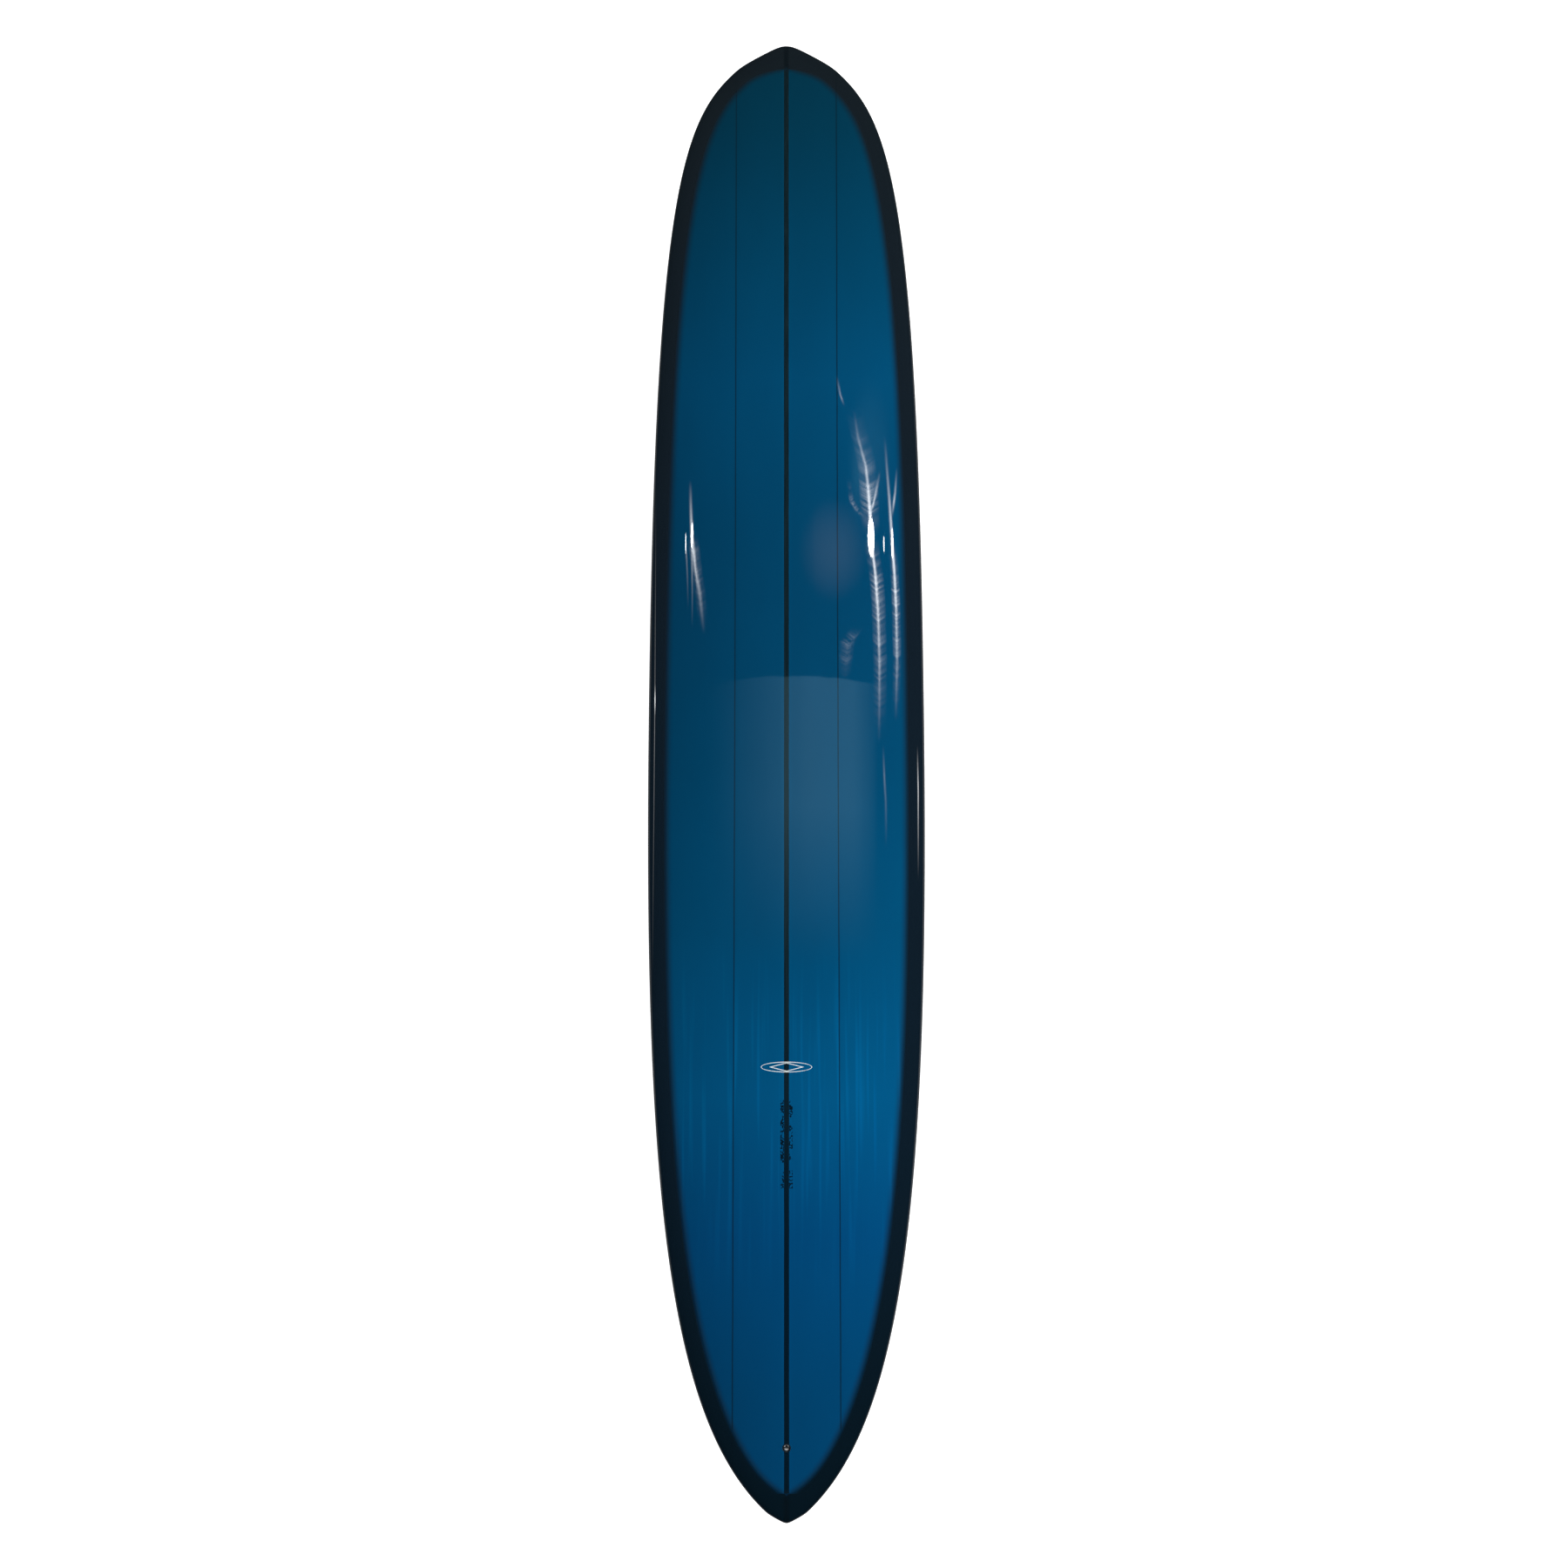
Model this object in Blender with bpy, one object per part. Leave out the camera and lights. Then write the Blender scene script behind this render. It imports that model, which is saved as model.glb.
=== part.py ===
"""Longboard surfboard, ten feet long, built up from its real pieces.

Metres, deck up, nose toward +Y, +X to the right, +Z up. The origin is on the centreline at mid length,
at the height of the fin's tip, which is the lowest point. The shell and its foam core are lofts, because
every section of a board differs from the next; the pieces inside are cut from those lofts.
"""
import math

import bmesh
import bpy
import numpy as np
from mathutils import Matrix, Vector

# ---- driving dimensions, metres -------------------------------------------------------------
HALF_LENGTH = 1.524            # ten feet overall
HALF_WIDTH = 0.2873            # widest half width, at mid length
THICKNESS = 0.079              # at mid length
RISE = 0.1910                  # the bottom at mid length, above the fin's tip
NOSE_THICKNESS = 0.016
TAIL_THICKNESS = 0.018
NOSE_THIN_POWER = 3.2          # how late the board thins toward the nose
TAIL_THIN_POWER = 4.0
NOSE_ROCKER = 0.115            # lift of the bottom at the tips
TAIL_ROCKER = 0.065
NOSE_ROCKER_POWER = 2.3
TAIL_ROCKER_POWER = 2.2
APEX = 0.45                    # height of the rail's widest line, as a share of the thickness
DECK_POWER = 2.6               # roundness of the deck across the board
BOTTOM_POWER = 5.0             # the bottom is flatter than the deck
TIP_ROUND = 0.009              # profile rounding at both tips

# outline handles: (mid handle along, end handle along, end handle out, end half width, end rounding)
NOSE_OUTLINE = (1.435, 1.387, 0.1945, 0.0465, 0.0535)
TAIL_OUTLINE = (1.000, 1.378, 0.2125, 0.0155, 0.0220)

STATIONS = 38                  # sections along the board
QUARTER = 6                    # points per quarter of a section

SKIN = 0.0010                  # fibreglass and resin
GAP = 0.0003                   # between pieces that touch
LAP_WIDTH = 0.040              # how far the bottom cloth laps onto the deck
LAP_AT_TIP = 0.016             # and how much further at the tips
TIP_REACH = 0.060              # half width over which that extra lap fades
LAP_STATIONS = 30

CENTER_STRINGER = 0.0100
SIDE_STRINGER = 0.0030
SIDE_STRINGER_X = 0.1065       # centre of each side stringer

CUP_Y = -1.379                 # leash cup
CUP_RADIUS = 0.00825
CUP_BORE = 0.00625
CUP_DEPTH = 0.0145
CUP_FLOOR = 0.0020
CUP_PROUD = 0.0005             # rim above the deck
BAR_RADIUS = 0.0015
BAR_LENGTH = 0.0148
BAR_SEAT = 0.0002              # clearance round the bar's ends
BAR_BELOW_RIM = 0.0040

BOX_Y = -1.2075                # fin box
BOX_LENGTH = 0.275
BOX_WIDTH = 0.025
BOX_DEPTH = 0.025
BOX_CORNER = 0.006
SLOT_LENGTH = 0.254
SLOT_WIDTH = 0.0096
SLOT_DEPTH = 0.020
GROOVE_WIDTH = 0.0140
GROOVE_TOP = 0.0100            # depth where the groove starts
GROOVE_HEIGHT = 0.0044
NOTCH_WIDTH = 0.0136
NOTCH_LENGTH = 0.0140

FIN_HEIGHT = 0.241
FIN_THICKNESS = 0.0090
FIN_EDGE = 0.0006              # half thickness of the leading and trailing edges
FIN_LEAD = ((0.0725, 0.0), (0.0300, 0.100), (-0.0500, 0.238), (-0.1500, 0.241))
FIN_TRAIL = ((-0.1055, 0.0), (-0.0700, 0.070), (-0.1000, 0.190), (-0.1500, 0.241))
FIN_STATIONS = 14
FIN_CHORD_POINTS = 9
TAB_WIDTH = 0.0088
TAB_REAR = -0.0985
TAB_FRONT = 0.0705
TAB_DEPTH = 0.0170
TAB_ROOT = 0.0012              # how far the tab reaches into the blade
TONGUE_FRONT = 0.0965
TONGUE_LOW = 0.0038
TONGUE_HIGH = 0.0093
SCREW_Y = 0.0865               # from the box's middle
SCREW_HOLE = 0.0022
PIN_Y = -0.0935
PIN_DEPTH = 0.0118
PIN_RADIUS = 0.0016
PIN_LENGTH = 0.0130
PIN_HOLE = 0.00165

SHANK_RADIUS = 0.0020
SHANK_END = 0.0160
HEAD_RADIUS = 0.0040
HEAD_LOW = 0.0009
HEAD_HIGH = 0.0035
DRIVE_SLOT = 0.0012
PLATE_SIDE = 0.0130
PLATE_LOW = 0.0103
PLATE_THICK = 0.0030
PLATE_HOLE = 0.00215

EMBLEM_Y = -0.640
EMBLEM_LONG = 0.0515           # half width and half height of the oval
EMBLEM_HIGH = 0.0105
EMBLEM_LINE = 0.0016
EMBLEM_DIAMOND = 4.0           # the inner diamond's length over its height
EMBLEM_THICK = 0.00015
EMBLEM_LIFT = 0.00005

# ---- start from an empty file ---------------------------------------------------------------
for old in list(bpy.data.objects):
    bpy.data.objects.remove(old, do_unlink=True)

PARTS = bpy.data.collections.new("surfboard")
bpy.context.scene.collection.children.link(PARTS)
CUTTERS = bpy.data.collections.new("surfboard_cutters")
bpy.context.scene.collection.children.link(CUTTERS)


# ---- shape of the board ---------------------------------------------------------------------
def bezier(points, count=1200):
    """A cubic curve through its first and last point, as rows of coordinates."""
    p = np.array(points, float)
    t = np.linspace(0.0, 1.0, count)[:, None]
    return ((1 - t) ** 3 * p[0] + 3 * t * (1 - t) ** 2 * p[1]
            + 3 * t * t * (1 - t) * p[2] + t ** 3 * p[3])


def half_outline(handles):
    """One half of the plan outline from mid length to a tip: distances along, and half widths."""
    mid, along, out, end, rounding = handles
    curve = bezier(((0.0, HALF_WIDTH), (mid, HALF_WIDTH), (along, out), (HALF_LENGTH, end)))
    past = np.clip((curve[:, 0] - (HALF_LENGTH - rounding)) / rounding, 0.0, 1.0)
    return curve[:, 0], curve[:, 1] * np.sqrt(1.0 - past ** 2)


NOSE_CURVE = half_outline(NOSE_OUTLINE)
TAIL_CURVE = half_outline(TAIL_OUTLINE)


def half_width(y):
    """Half width of the plan outline at y."""
    along, width = NOSE_CURVE if y >= 0 else TAIL_CURVE
    return float(np.interp(abs(y), along, width))


def rocker(y):
    """Height of the bottom's centreline."""
    share = min(abs(y) / HALF_LENGTH, 1.0)
    if y >= 0:
        return RISE + NOSE_ROCKER * share ** NOSE_ROCKER_POWER
    return RISE + TAIL_ROCKER * share ** TAIL_ROCKER_POWER


def thickness(y):
    """Thickness on the centreline, closed by a round at each tip."""
    share = min(abs(y) / HALF_LENGTH, 1.0)
    if y >= 0:
        full = THICKNESS - (THICKNESS - NOSE_THICKNESS) * share ** NOSE_THIN_POWER
    else:
        full = THICKNESS - (THICKNESS - TAIL_THICKNESS) * share ** TAIL_THIN_POWER
    past = max(0.0, (abs(y) - (HALF_LENGTH - TIP_ROUND)) / TIP_ROUND)
    return full * math.sqrt(max(0.0, 1.0 - past ** 2))


def apex_height(y):
    """Height of the rail's widest line; the tip's round closes on it."""
    share = min(abs(y) / HALF_LENGTH, 1.0)
    if y >= 0:
        full = THICKNESS - (THICKNESS - NOSE_THICKNESS) * share ** NOSE_THIN_POWER
    else:
        full = THICKNESS - (THICKNESS - TAIL_THICKNESS) * share ** TAIL_THIN_POWER
    return rocker(y) + APEX * full


def deck_height(x, y):
    """Height of the deck's surface at a point of the plan."""
    side = min(abs(x) / half_width(y), 1.0)
    return apex_height(y) + (1 - APEX) * thickness(y) * math.sqrt(1 - side ** DECK_POWER)


def section(y):
    """One ring of the shell, from the keel round the right rail, over the deck and back."""
    wide = half_width(y)
    apex = apex_height(y)
    deep = thickness(y)
    right = []
    for i in range(QUARTER + 1):
        turn = 0.5 * math.pi * i / QUARTER
        right.append((wide * math.sin(turn) ** (2 / BOTTOM_POWER), apex - APEX * deep * math.cos(turn)))
    for i in range(1, QUARTER + 1):
        turn = 0.5 * math.pi * (1 - i / QUARTER)
        right.append((wide * math.sin(turn) ** (2 / DECK_POWER), apex + (1 - APEX) * deep * math.cos(turn)))
    left = [(-x, z) for x, z in right[-2:0:-1]]
    return [(x, y, z) for x, z in right + left]


# ---- helpers --------------------------------------------------------------------------------
def add_object(name, mesh, collection=CUTTERS, matrix=None):
    """An object holding a mesh, in a collection, with its matrix."""
    made = bpy.data.objects.new(name, mesh)
    collection.objects.link(made)
    if matrix is not None:
        made.matrix_world = matrix
    if collection is CUTTERS:
        made.hide_render = True
        made.display_type = "WIRE"
    return made


def from_bmesh(name, bm, collection=CUTTERS, matrix=None):
    """Turn a bmesh into an object."""
    bmesh.ops.recalc_face_normals(bm, faces=bm.faces)
    mesh = bpy.data.meshes.new(name)
    bm.to_mesh(mesh)
    bm.free()
    return add_object(name, mesh, collection, matrix)


def loft(name, rings, tips=None, inset=0.0, collection=CUTTERS, matrix=None):
    """Skin over rings of equal count, closed by tip points or by flat ends, then moved inward."""
    bm = bmesh.new()
    rows = [[bm.verts.new(p) for p in ring] for ring in rings]
    count = len(rows[0])
    for low, high in zip(rows, rows[1:]):
        for i in range(count):
            bm.faces.new((low[i], low[(i + 1) % count], high[(i + 1) % count], high[i]))
    if tips is None:
        bm.faces.new(list(reversed(rows[0])))
        bm.faces.new(rows[-1])
    else:
        first = bm.verts.new(tips[0])
        last = bm.verts.new(tips[1])
        for i in range(count):
            bm.faces.new((first, rows[0][(i + 1) % count], rows[0][i]))
            bm.faces.new((last, rows[-1][i], rows[-1][(i + 1) % count]))
    bmesh.ops.recalc_face_normals(bm, faces=bm.faces)
    if inset:
        bm.normal_update()
        moves = [(v, v.normal * inset * v.calc_shell_factor()) for v in bm.verts]
        for v, move in moves:
            v.co -= move
    return from_bmesh(name, bm, collection, matrix)


def board_loft(name, inset):
    """The whole board as one solid, moved inward by inset."""
    ys = [-HALF_LENGTH * math.cos(math.pi * i / STATIONS) for i in range(1, STATIONS)]
    tail = (0.0, -HALF_LENGTH, apex_height(-HALF_LENGTH))
    nose = (0.0, HALF_LENGTH, apex_height(HALF_LENGTH))
    return loft(name, [section(y) for y in ys], (tail, nose), inset)


def block(name, low, high, matrix=None, corner=0.0, collection=CUTTERS):
    """A box between two corners; corner rounds its four upright edges."""
    bm = bmesh.new()
    bmesh.ops.create_cube(bm, size=1.0)
    low = Vector(low)
    high = Vector(high)
    for v in bm.verts:
        v.co = Vector([(a + b) / 2 + c * (b - a) for a, b, c in zip(low, high, v.co)])
    if corner:
        upright = [e for e in bm.edges if abs(e.verts[0].co.z - e.verts[1].co.z) > 1e-6]
        bmesh.ops.bevel(bm, geom=upright, offset=corner, segments=5, profile=0.5, affect="EDGES")
    return from_bmesh(name, bm, collection, matrix)


def rod(name, radius, low, high, center=(0.0, 0.0), axis="Z", sides=24, matrix=None, collection=CUTTERS):
    """A cylinder from low to high along an axis; center gives its place on the other two axes."""
    bm = bmesh.new()
    bmesh.ops.create_cone(bm, cap_ends=True, segments=sides, radius1=radius, radius2=radius,
                          depth=high - low)
    middle = (low + high) / 2
    if axis == "Z":
        place = Matrix.Translation((center[0], center[1], middle))
    else:
        place = Matrix.Translation((middle, center[0], center[1])) @ Matrix.Rotation(math.pi / 2, 4, "Y")
    bmesh.ops.transform(bm, matrix=place, verts=bm.verts)
    return from_bmesh(name, bm, collection, matrix)


def combine(target, tool, operation, solver="EXACT"):
    """One Boolean, evaluated at once so the order of the cuts is plain."""
    mod = target.modifiers.new("cut", "BOOLEAN")
    mod.object = tool
    mod.operation = operation
    mod.solver = solver
    bpy.context.view_layer.update()
    graph = bpy.context.evaluated_depsgraph_get()
    result = bpy.data.meshes.new_from_object(target.evaluated_get(graph))
    target.modifiers.clear()
    old = target.data
    target.data = result
    bpy.data.meshes.remove(old)


def copy_as(source, name):
    """A separate object with its own copy of a mesh."""
    return add_object(name, source.data.copy(), CUTTERS, source.matrix_world.copy())


def finish(made, name, color, roughness, metallic=0.0, coat=0.0, body=None):
    """Clean a piece, name it, colour it and put it among the parts."""
    made.name = name
    made.data.name = name
    bm = bmesh.new()
    bm.from_mesh(made.data)
    bmesh.ops.remove_doubles(bm, verts=bm.verts, dist=0.00001)
    bmesh.ops.dissolve_limit(bm, angle_limit=math.radians(0.02), verts=bm.verts, edges=bm.edges)
    bmesh.ops.triangulate(bm, faces=bm.faces)
    bmesh.ops.remove_doubles(bm, verts=bm.verts, dist=0.00001)
    bm.to_mesh(made.data)
    bm.free()
    mat = bpy.data.materials.new(name + "_finish")
    mat.use_nodes = True
    shader = mat.node_tree.nodes["Principled BSDF"]
    shader.inputs["Base Color"].default_value = (*color, 1.0)
    shader.inputs["Roughness"].default_value = roughness
    shader.inputs["Metallic"].default_value = metallic
    shader.inputs["Coat Weight"].default_value = coat
    made.data.materials.clear()
    made.data.materials.append(mat)
    for old in list(made.users_collection):
        old.objects.unlink(made)
    PARTS.objects.link(made)
    made.hide_render = False
    made.display_type = "TEXTURED"
    if body is not None:
        bpy.context.view_layer.update()
        made.parent = body
        made.matrix_parent_inverse = body.matrix_world.inverted()
    return made


# ---- shared solids and pockets --------------------------------------------------------------
OUTER = board_loft("outer_surface", 0.0)
SHELL_INSIDE = board_loft("shell_inside", SKIN)
CORE = board_loft("core_surface", SKIN + GAP)

slope = TAIL_ROCKER * TAIL_ROCKER_POWER * (abs(BOX_Y) / HALF_LENGTH) ** (TAIL_ROCKER_POWER - 1) / HALF_LENGTH
BOX_TILT = math.atan(slope)
BOX_FRAME = Matrix.Translation((0.0, BOX_Y, rocker(BOX_Y) + 0.0002)) @ Matrix.Rotation(-BOX_TILT, 4, "X")
CUP_TOP = deck_height(0.0, CUP_Y) + CUP_PROUD

box_pocket = block("box_pocket", (-BOX_WIDTH / 2 - GAP, -BOX_LENGTH / 2 - GAP, -0.010),
                   (BOX_WIDTH / 2 + GAP, BOX_LENGTH / 2 + GAP, BOX_DEPTH + GAP),
                   BOX_FRAME, BOX_CORNER + GAP)
cup_pocket = rod("cup_pocket", CUP_RADIUS + GAP, CUP_TOP - CUP_DEPTH - GAP, CUP_TOP + 0.01,
                 (0.0, CUP_Y), sides=32)


def lap_line():
    """The outline moved inward by the lap's width, as y positions and half widths."""
    along = np.concatenate((-TAIL_CURVE[0][::-1], NOSE_CURVE[0][1:]))
    wide = np.concatenate((TAIL_CURVE[1][::-1], NOSE_CURVE[1][1:]))
    step_y = np.gradient(along)
    step_x = np.gradient(wide)
    size = np.hypot(step_y, step_x)
    lap = LAP_WIDTH + LAP_AT_TIP * np.exp(-(wide / TIP_REACH) ** 2)
    y = along + lap * step_x / size
    x = wide - lap * step_y / size
    keep = (x > 0.0) & (np.abs(y) < HALF_LENGTH - LAP_WIDTH)
    return y[keep], x[keep]


def lap_prism(name, grow):
    """Everything above mid thickness inside the lap line, grown outward by grow."""
    line_y, line_x = lap_line()
    low = float(line_y.min())
    high = float(line_y.max())
    rings = []
    for i in range(LAP_STATIONS + 1):
        share = 0.5 - 0.5 * math.cos(math.pi * i / LAP_STATIONS)
        y = low + (high - low) * share
        wide = max(float(np.interp(y, line_y, line_x)), 0.004) + grow
        place = (low - grow) + (high - low + 2 * grow) * share
        middle = rocker(y) + 0.5 * thickness(y)
        rings.append([(-wide, place, middle), (wide, place, middle),
                      (wide, place, middle + 0.2), (-wide, place, middle + 0.2)])
    return loft(name, rings)


# ---- fibreglass skins -----------------------------------------------------------------------
deck = copy_as(OUTER, "deck")
combine(deck, lap_prism("deck_area", 0.0), "INTERSECT")
combine(deck, SHELL_INSIDE, "DIFFERENCE")
combine(deck, cup_pocket, "DIFFERENCE")
finish(deck, "deck_laminate", (0.002, 0.050, 0.115), 0.12, coat=1.0)

bottom = copy_as(OUTER, "bottom")
combine(bottom, lap_prism("lap_opening", GAP), "DIFFERENCE")
combine(bottom, SHELL_INSIDE, "DIFFERENCE")
combine(bottom, box_pocket, "DIFFERENCE")
finish(bottom, "bottom_laminate", (0.006, 0.013, 0.022), 0.14, coat=1.0)

# ---- foam core and stringers ----------------------------------------------------------------
inner_edge = CENTER_STRINGER / 2
side_low = SIDE_STRINGER_X - SIDE_STRINGER / 2
side_high = SIDE_STRINGER_X + SIDE_STRINGER / 2
FOAM = (0.82, 0.80, 0.74)
WOOD = (0.30, 0.16, 0.075)
SLICES = (
    ("foam_outer_left", -0.4, -side_high - GAP, FOAM, 0.85),
    ("left_stringer", -side_high, -side_low, WOOD, 0.6),
    ("foam_inner_left", -side_low + GAP, -inner_edge - GAP, FOAM, 0.85),
    ("center_stringer", -inner_edge, inner_edge, WOOD, 0.6),
    ("foam_inner_right", inner_edge + GAP, side_low - GAP, FOAM, 0.85),
    ("right_stringer", side_low, side_high, WOOD, 0.6),
    ("foam_outer_right", side_high + GAP, 0.4, FOAM, 0.85),
)
for slice_name, left_x, right_x, slice_color, slice_rough in SLICES:
    piece = copy_as(CORE, slice_name + "_stock")
    slab = block(slice_name + "_slab", (left_x, -2.0, -0.5), (right_x, 2.0, 0.5))
    combine(piece, slab, "INTERSECT")
    if max(abs(left_x), abs(right_x)) < SIDE_STRINGER_X - SIDE_STRINGER / 2:
        combine(piece, box_pocket, "DIFFERENCE")
        combine(piece, cup_pocket, "DIFFERENCE")
    finish(piece, slice_name, slice_color, slice_rough)

# ---- leash cup and its bar ------------------------------------------------------------------
cup = rod("cup", CUP_RADIUS, CUP_TOP - CUP_DEPTH, CUP_TOP, (0.0, CUP_Y), sides=32)
combine(cup, rod("cup_bore", CUP_BORE, CUP_TOP - CUP_DEPTH + CUP_FLOOR, CUP_TOP + 0.01,
                 (0.0, CUP_Y), sides=32), "DIFFERENCE")
bar_z = CUP_TOP - BAR_BELOW_RIM
combine(cup, rod("bar_seats", BAR_RADIUS + BAR_SEAT, -BAR_LENGTH / 2 - BAR_SEAT,
                 BAR_LENGTH / 2 + BAR_SEAT, (CUP_Y, bar_z), "X", 24), "DIFFERENCE")
finish(cup, "leash_cup", (0.75, 0.77, 0.78), 0.25)
bar = rod("bar", BAR_RADIUS, -BAR_LENGTH / 2, BAR_LENGTH / 2, (CUP_Y, bar_z), "X", 20)
finish(bar, "leash_bar", (0.55, 0.56, 0.57), 0.25, 1.0)

# ---- emblem under the gloss -----------------------------------------------------------------
def flat_ring(name, outer, inner):
    """A flat ring between two closed lines of equal count, with a top and a bottom."""
    bm = bmesh.new()
    levels = []
    for line in (outer, inner):
        levels.append([[bm.verts.new((x, y, z)) for x, y in line] for z in (0.0, EMBLEM_THICK)])
    (out_low, out_high), (in_low, in_high) = levels
    count = len(outer)
    for i in range(count):
        j = (i + 1) % count
        bm.faces.new((out_low[i], out_low[j], out_high[j], out_high[i]))
        bm.faces.new((in_low[j], in_low[i], in_high[i], in_high[j]))
        bm.faces.new((out_high[i], out_high[j], in_high[j], in_high[i]))
        bm.faces.new((in_low[i], in_low[j], out_low[j], out_low[i]))
    return from_bmesh(name, bm)


def oval(long_half, high_half, count=56):
    """Points round an ellipse."""
    turns = [2 * math.pi * (i + 0.5) / count for i in range(count)]
    return [(long_half * math.cos(t), high_half * math.sin(t)) for t in turns]


def lozenge(long_half, high_half, per_side=6):
    """Points round a diamond, evenly along each side."""
    corners = [(long_half, 0.0), (0.0, high_half), (-long_half, 0.0), (0.0, -high_half)]
    line = []
    for (ax, ay), (bx, by) in zip(corners, corners[1:] + corners[:1]):
        for i in range(per_side):
            line.append((ax + (bx - ax) * i / per_side, ay + (by - ay) * i / per_side))
    return line


emblem = flat_ring("emblem", oval(EMBLEM_LONG, EMBLEM_HIGH),
                   oval(EMBLEM_LONG - EMBLEM_LINE, EMBLEM_HIGH - EMBLEM_LINE))
reach = EMBLEM_HIGH - 0.4 * EMBLEM_LINE
slant = math.hypot(1.0, EMBLEM_DIAMOND) * EMBLEM_LINE
combine(emblem, flat_ring("emblem_diamond", lozenge(EMBLEM_DIAMOND * reach, reach),
                          lozenge(EMBLEM_DIAMOND * reach - slant, reach - slant / EMBLEM_DIAMOND)), "UNION")
for vertex in emblem.data.vertices:
    spot = vertex.co
    lift = deck_height(spot.x, EMBLEM_Y + spot.y) + EMBLEM_LIFT
    vertex.co = (spot.x, EMBLEM_Y + spot.y, lift + spot.z)
finish(emblem, "deck_emblem", (0.80, 0.84, 0.86), 0.3)

# ---- fin box --------------------------------------------------------------------------------
half_slot = SLOT_LENGTH / 2
fin_box = block("fin_box_body", (-BOX_WIDTH / 2, -BOX_LENGTH / 2, 0.0),
                (BOX_WIDTH / 2, BOX_LENGTH / 2, BOX_DEPTH), BOX_FRAME, BOX_CORNER)
combine(fin_box, block("slot", (-SLOT_WIDTH / 2, -half_slot, -0.01),
                       (SLOT_WIDTH / 2, half_slot, SLOT_DEPTH), BOX_FRAME), "DIFFERENCE")
combine(fin_box, block("grooves", (-GROOVE_WIDTH / 2, -half_slot, GROOVE_TOP),
                       (GROOVE_WIDTH / 2, half_slot, GROOVE_TOP + GROOVE_HEIGHT), BOX_FRAME), "DIFFERENCE")
combine(fin_box, block("notch", (-NOTCH_WIDTH / 2, -NOTCH_LENGTH / 2, -0.01),
                       (NOTCH_WIDTH / 2, NOTCH_LENGTH / 2, GROOVE_TOP + GROOVE_HEIGHT / 2),
                       BOX_FRAME), "DIFFERENCE")
finish(fin_box, "fin_box", (0.02, 0.021, 0.023), 0.45)

# ---- bodies that move -----------------------------------------------------------------------
def pivot(name, matrix, parent=None):
    """An empty that carries one moving body."""
    empty = bpy.data.objects.new(name, None)
    PARTS.objects.link(empty)
    empty.empty_display_size = 0.02
    empty.matrix_world = matrix
    bpy.context.view_layer.update()
    if parent is not None:
        empty.parent = parent
        empty.matrix_parent_inverse = parent.matrix_world.inverted()
        bpy.context.view_layer.update()
    return empty


FIN_PIVOT = pivot("fin_slide_pivot", BOX_FRAME)
SCREW_FRAME = BOX_FRAME @ Matrix.Translation((0.0, SCREW_Y, 0.0))
SCREW_PIVOT = pivot("screw_turn_pivot", SCREW_FRAME, FIN_PIVOT)
PLATE_PIVOT = pivot("plate_travel_pivot", SCREW_FRAME, FIN_PIVOT)


# ---- fin ------------------------------------------------------------------------------------
def foil(share):
    """Half thickness of a symmetric foil at a share of its chord, 1 at its thickest."""
    root = 0.2969 * math.sqrt(share)
    rest = -0.1260 * share - 0.3516 * share ** 2 + 0.2843 * share ** 3 - 0.1036 * share ** 4
    return (root + rest) / 0.1


def fin_section(deep):
    """One ring of the blade at a distance below the box's face."""
    lead = bezier(FIN_LEAD)
    trail = bezier(FIN_TRAIL)
    front = float(np.interp(deep, lead[:, 1], lead[:, 0]))
    rear = float(np.interp(deep, trail[:, 1], trail[:, 0]))
    chord = front - rear
    thick = (FIN_THICKNESS / 2 - FIN_EDGE) * (1 - 0.62 * deep / FIN_HEIGHT) * min(1.0, chord / 0.08)
    side = []
    for i in range(FIN_CHORD_POINTS + 1):
        share = 0.5 - 0.5 * math.cos(math.pi * i / FIN_CHORD_POINTS)
        side.append((FIN_EDGE + thick * foil(share), front - chord * share))
    z = -GAP - deep
    return [(x, y, z) for x, y in side] + [(-x, y, z) for x, y in reversed(side)]


depths = [FIN_HEIGHT * math.sin(0.5 * math.pi * 0.985 * i / FIN_STATIONS) for i in range(FIN_STATIONS + 1)]
fin = loft("fin", [fin_section(d) for d in depths], matrix=BOX_FRAME)
combine(fin, block("tab", (-TAB_WIDTH / 2, TAB_REAR, -TAB_ROOT), (TAB_WIDTH / 2, TAB_FRONT, TAB_DEPTH),
                   BOX_FRAME), "UNION")
combine(fin, block("tongue", (-TAB_WIDTH / 2, TAB_FRONT - 0.003, TONGUE_LOW),
                   (TAB_WIDTH / 2, TONGUE_FRONT, TONGUE_HIGH), BOX_FRAME), "UNION")
combine(fin, rod("screw_way", SCREW_HOLE, 0.0, TAB_DEPTH, (0.0, SCREW_Y), matrix=BOX_FRAME), "DIFFERENCE")
combine(fin, rod("pin_way", PIN_HOLE, -0.02, 0.02, (PIN_Y, PIN_DEPTH), "X", matrix=BOX_FRAME), "DIFFERENCE")
finish(fin, "fin_blade", (0.010, 0.012, 0.014), 0.25, coat=0.6, body=FIN_PIVOT)

pin = rod("pin", PIN_RADIUS, -PIN_LENGTH / 2, PIN_LENGTH / 2, (PIN_Y, PIN_DEPTH), "X", matrix=BOX_FRAME)
finish(pin, "fin_pin", (0.55, 0.50, 0.35), 0.3, 1.0, body=FIN_PIVOT)

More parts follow.
